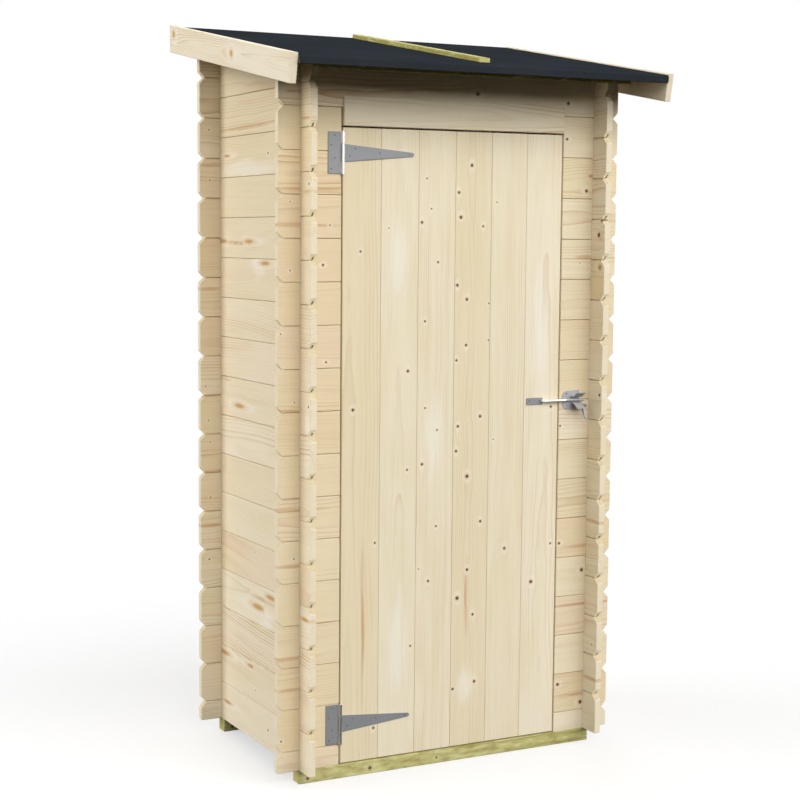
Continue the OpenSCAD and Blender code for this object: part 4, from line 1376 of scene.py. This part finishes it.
def screws(name, body, spots):
    """Screws at (X, Z, lift off the front face), as one piece that rides with a body."""
    mesh = bpy.data.meshes.new(name + "_spots")
    mesh.from_pydata([Vector((x, FRONT_Y - lift + HEAD_SINK, z)) * MM for x, z, lift in spots], [], [])
    maker = link(name + "_maker", mesh)
    modifier = maker.modifiers.new("screws", "NODES")
    modifier.node_group = SCREWS
    sockets = {s.name: s.identifier for s in SCREWS.interface.items_tree if s.in_out == "INPUT"}
    for label, value in (("Head Radius", HEAD_R * MM), ("Head Height", HEAD_H * MM), ("Seed", len(spots)),
                         ("Metal", SCREW), ("Recess", RECESS_SHADE)):
        modifier[sockets[label]] = value
    shaped = maker.evaluated_get(bpy.context.evaluated_depsgraph_get())
    made = bpy.data.meshes.new_from_object(shaped)
    made.name = name
    bpy.data.objects.remove(maker)
    obj = link(name, made)
    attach(obj, body)


# Screws of a hinge's plate and strap, from the sheet's left edge and from the hinge's middle
PLATE_SPOTS = ((19.0, 46.0), (8.5, 19.5), (19.0, -14.0), (8.5, -42.0))
STRAP_SPOTS = ((42.0, 11.5), (26.0, -7.5), (114.3, 2.5), (204.5, 1.0))
# Screws of the latch's two plates: X, and height over the bar's middle
STRIKER_SPOTS = ((247.5, 2.0), (279.0, 2.0))
KEEPER_SPOTS = ((370.6, 17.5), (371.5, -16.0))

shed_spots, door_spots = [], []
for level in ("top", "bottom"):
    plate_x = box_mm(level + "_hinge_plate")[0].x
    strap_lo, strap_hi = box_mm(level + "_hinge_strap")
    mid = middle(strap_lo.z, strap_hi.z)
    shed_spots += [(plate_x + x, mid + z, HINGE_T) for x, z in PLATE_SPOTS]
    door_spots += [(strap_lo.x + x, mid + z, HINGE_T) for x, z in STRAP_SPOTS]
striker_lo, striker_hi = box_mm("latch_striker")
bar_z = middle(striker_lo.z, striker_hi.z)
door_spots += [(x, bar_z + z, LATCH_T) for x, z in STRIKER_SPOTS]
shed_spots += [(x, bar_z + z, LATCH_T) for x, z in KEEPER_SPOTS]
screws("shed_screws", "shed", shed_spots)
screws("door_screws", "door", door_spots)

# ---------------------------------------------------------------------------
# Studio, in metres
# ---------------------------------------------------------------------------

FLOOR_HALF = 60.0
# The floor fades to the backdrop's white between these two distances from the origin
FLOOR_NEAR, FLOOR_FAR = 0.9, 2.3
FLOOR_TONE, FLOOR_BOUNCE, FLOOR_GLOW = 0.44, 0.03, 0.56
WHITE = (1, 1, 1, 1)
# Every lamp is a square of this side, at this distance from a point in the middle of the shed
LAMP_SIDE = 18.7
LAMP_REACH = 28.0
AIM = Vector((0, 0, 1.0))
# Camera: low to the left of the door, looking across it; place with Y counted from the front wall
YAW, PITCH_UP, ROLL = 0.45667, -0.09916, 0.00421
CAMERA_X, CAMERA_Y, CAMERA_Z = -2.2979, -3.9063, 1.4693
SENSOR_W = 36.0
FOCUS, SHIFT_X = 2.062, 0.0875


def plain_floor():
    """A pale floor that takes the shed's shadow and fades to the backdrop's white."""
    mesh = bpy.data.meshes.new("studio_floor")
    corners = [(x * FLOOR_HALF, y * FLOOR_HALF, 0) for x, y in ((-1, -1), (1, -1), (1, 1), (-1, 1))]
    mesh.from_pydata(corners, [], [(0, 1, 2, 3)])
    obj = link("studio_floor", mesh)
    mat, net, shader = new_material("pale_floor")
    seen = net.add("ShaderNodeLightPath").outputs["Is Camera Ray"]
    reach = net.add("ShaderNodeVectorMath", {0: net.place()}, operation="LENGTH").outputs["Value"]
    near = net.math("MULTIPLY", net.step(reach, FLOOR_NEAR, FLOOR_FAR, 1.0, 0.0), seen)
    unseen = net.math("SUBTRACT", 1.0, seen)
    shade = net.math("MULTIPLY_ADD", near, FLOOR_TONE, net.math("MULTIPLY", unseen, FLOOR_BOUNCE))
    net.put(shader.inputs["Base Color"], net.grey(shade))
    for label, value in (("Roughness", 0.9), ("Specular IOR Level", 0.0), ("Emission Color", WHITE)):
        shader.inputs[label].default_value = value
    glow = net.math("MULTIPLY", seen, net.math("MULTIPLY_ADD", near, FLOOR_GLOW - 1.0, 1.0))
    net.put(shader.inputs["Emission Strength"], glow)
    mesh.materials.append(mat)


def white_backdrop():
    """A world that is white to the camera and in mirrors, and gives no light of its own."""
    world = bpy.data.worlds.new("studio")
    bpy.context.scene.world = world
    world.use_nodes = True
    net = Net(world.node_tree)
    path = net.add("ShaderNodeLightPath").outputs
    mirrored = net.math("MAXIMUM", path["Is Glossy Ray"], path["Is Transmission Ray"])
    seen = net.math("MAXIMUM", path["Is Camera Ray"], mirrored)
    back = world.node_tree.nodes["Background"]
    back.inputs["Color"].default_value = WHITE
    net.put(back.inputs["Strength"], seen)


def soft_box(name, turn, rise, power):
    """A square lamp at a compass turn from the front and a rise above the floor, in degrees."""
    t, e = math.radians(turn), math.radians(rise)
    lamp = bpy.data.lights.new(name, "AREA")
    lamp.shape = "SQUARE"
    lamp.size = LAMP_SIDE
    lamp.energy = power
    obj = link(name, lamp)
    away = Vector((math.sin(t) * math.cos(e), -math.cos(t) * math.cos(e), math.sin(e)))
    obj.location = AIM + away * LAMP_REACH
    obj.rotation_euler = (AIM - obj.location).to_track_quat("-Z", "Y").to_euler()


def main_camera():
    """The camera, rolled a little and shifted sideways."""
    level = math.cos(PITCH_UP)
    forward = Vector((math.sin(YAW) * level, math.cos(YAW) * level, math.sin(PITCH_UP)))
    right = Vector((math.cos(YAW), -math.sin(YAW), 0.0))
    up = right.cross(forward)
    right, up = right * math.cos(ROLL) + up * math.sin(ROLL), up * math.cos(ROLL) - right * math.sin(ROLL)
    camera = bpy.data.cameras.new("camera")
    camera.sensor_width = SENSOR_W
    camera.lens = FOCUS * SENSOR_W
    camera.shift_x = SHIFT_X
    obj = link("camera", camera)
    obj.matrix_world = Matrix((
        (right.x, up.x, -forward.x, CAMERA_X),
        (right.y, up.y, -forward.y, FRONT_Y * MM + CAMERA_Y),
        (right.z, up.z, -forward.z, CAMERA_Z),
        (0, 0, 0, 1),
    ))
    bpy.context.scene.camera = obj


plain_floor()
white_backdrop()
soft_box("front_light", 0, 29, 4290)
soft_box("right_light", 40, 29, 4560)
soft_box("left_light", -40, 26, 1250)
soft_box("side_light", -80, 14, 1720)
soft_box("rear_left_light", -112, 14, 5050)
soft_box("rear_left_high_light", -112, 52, 1090)
soft_box("back_light", 165, 30, 2600)
soft_box("rear_right_light", 108, 16, 2000)
main_camera()
bpy.context.scene.view_settings.view_transform = "Standard"
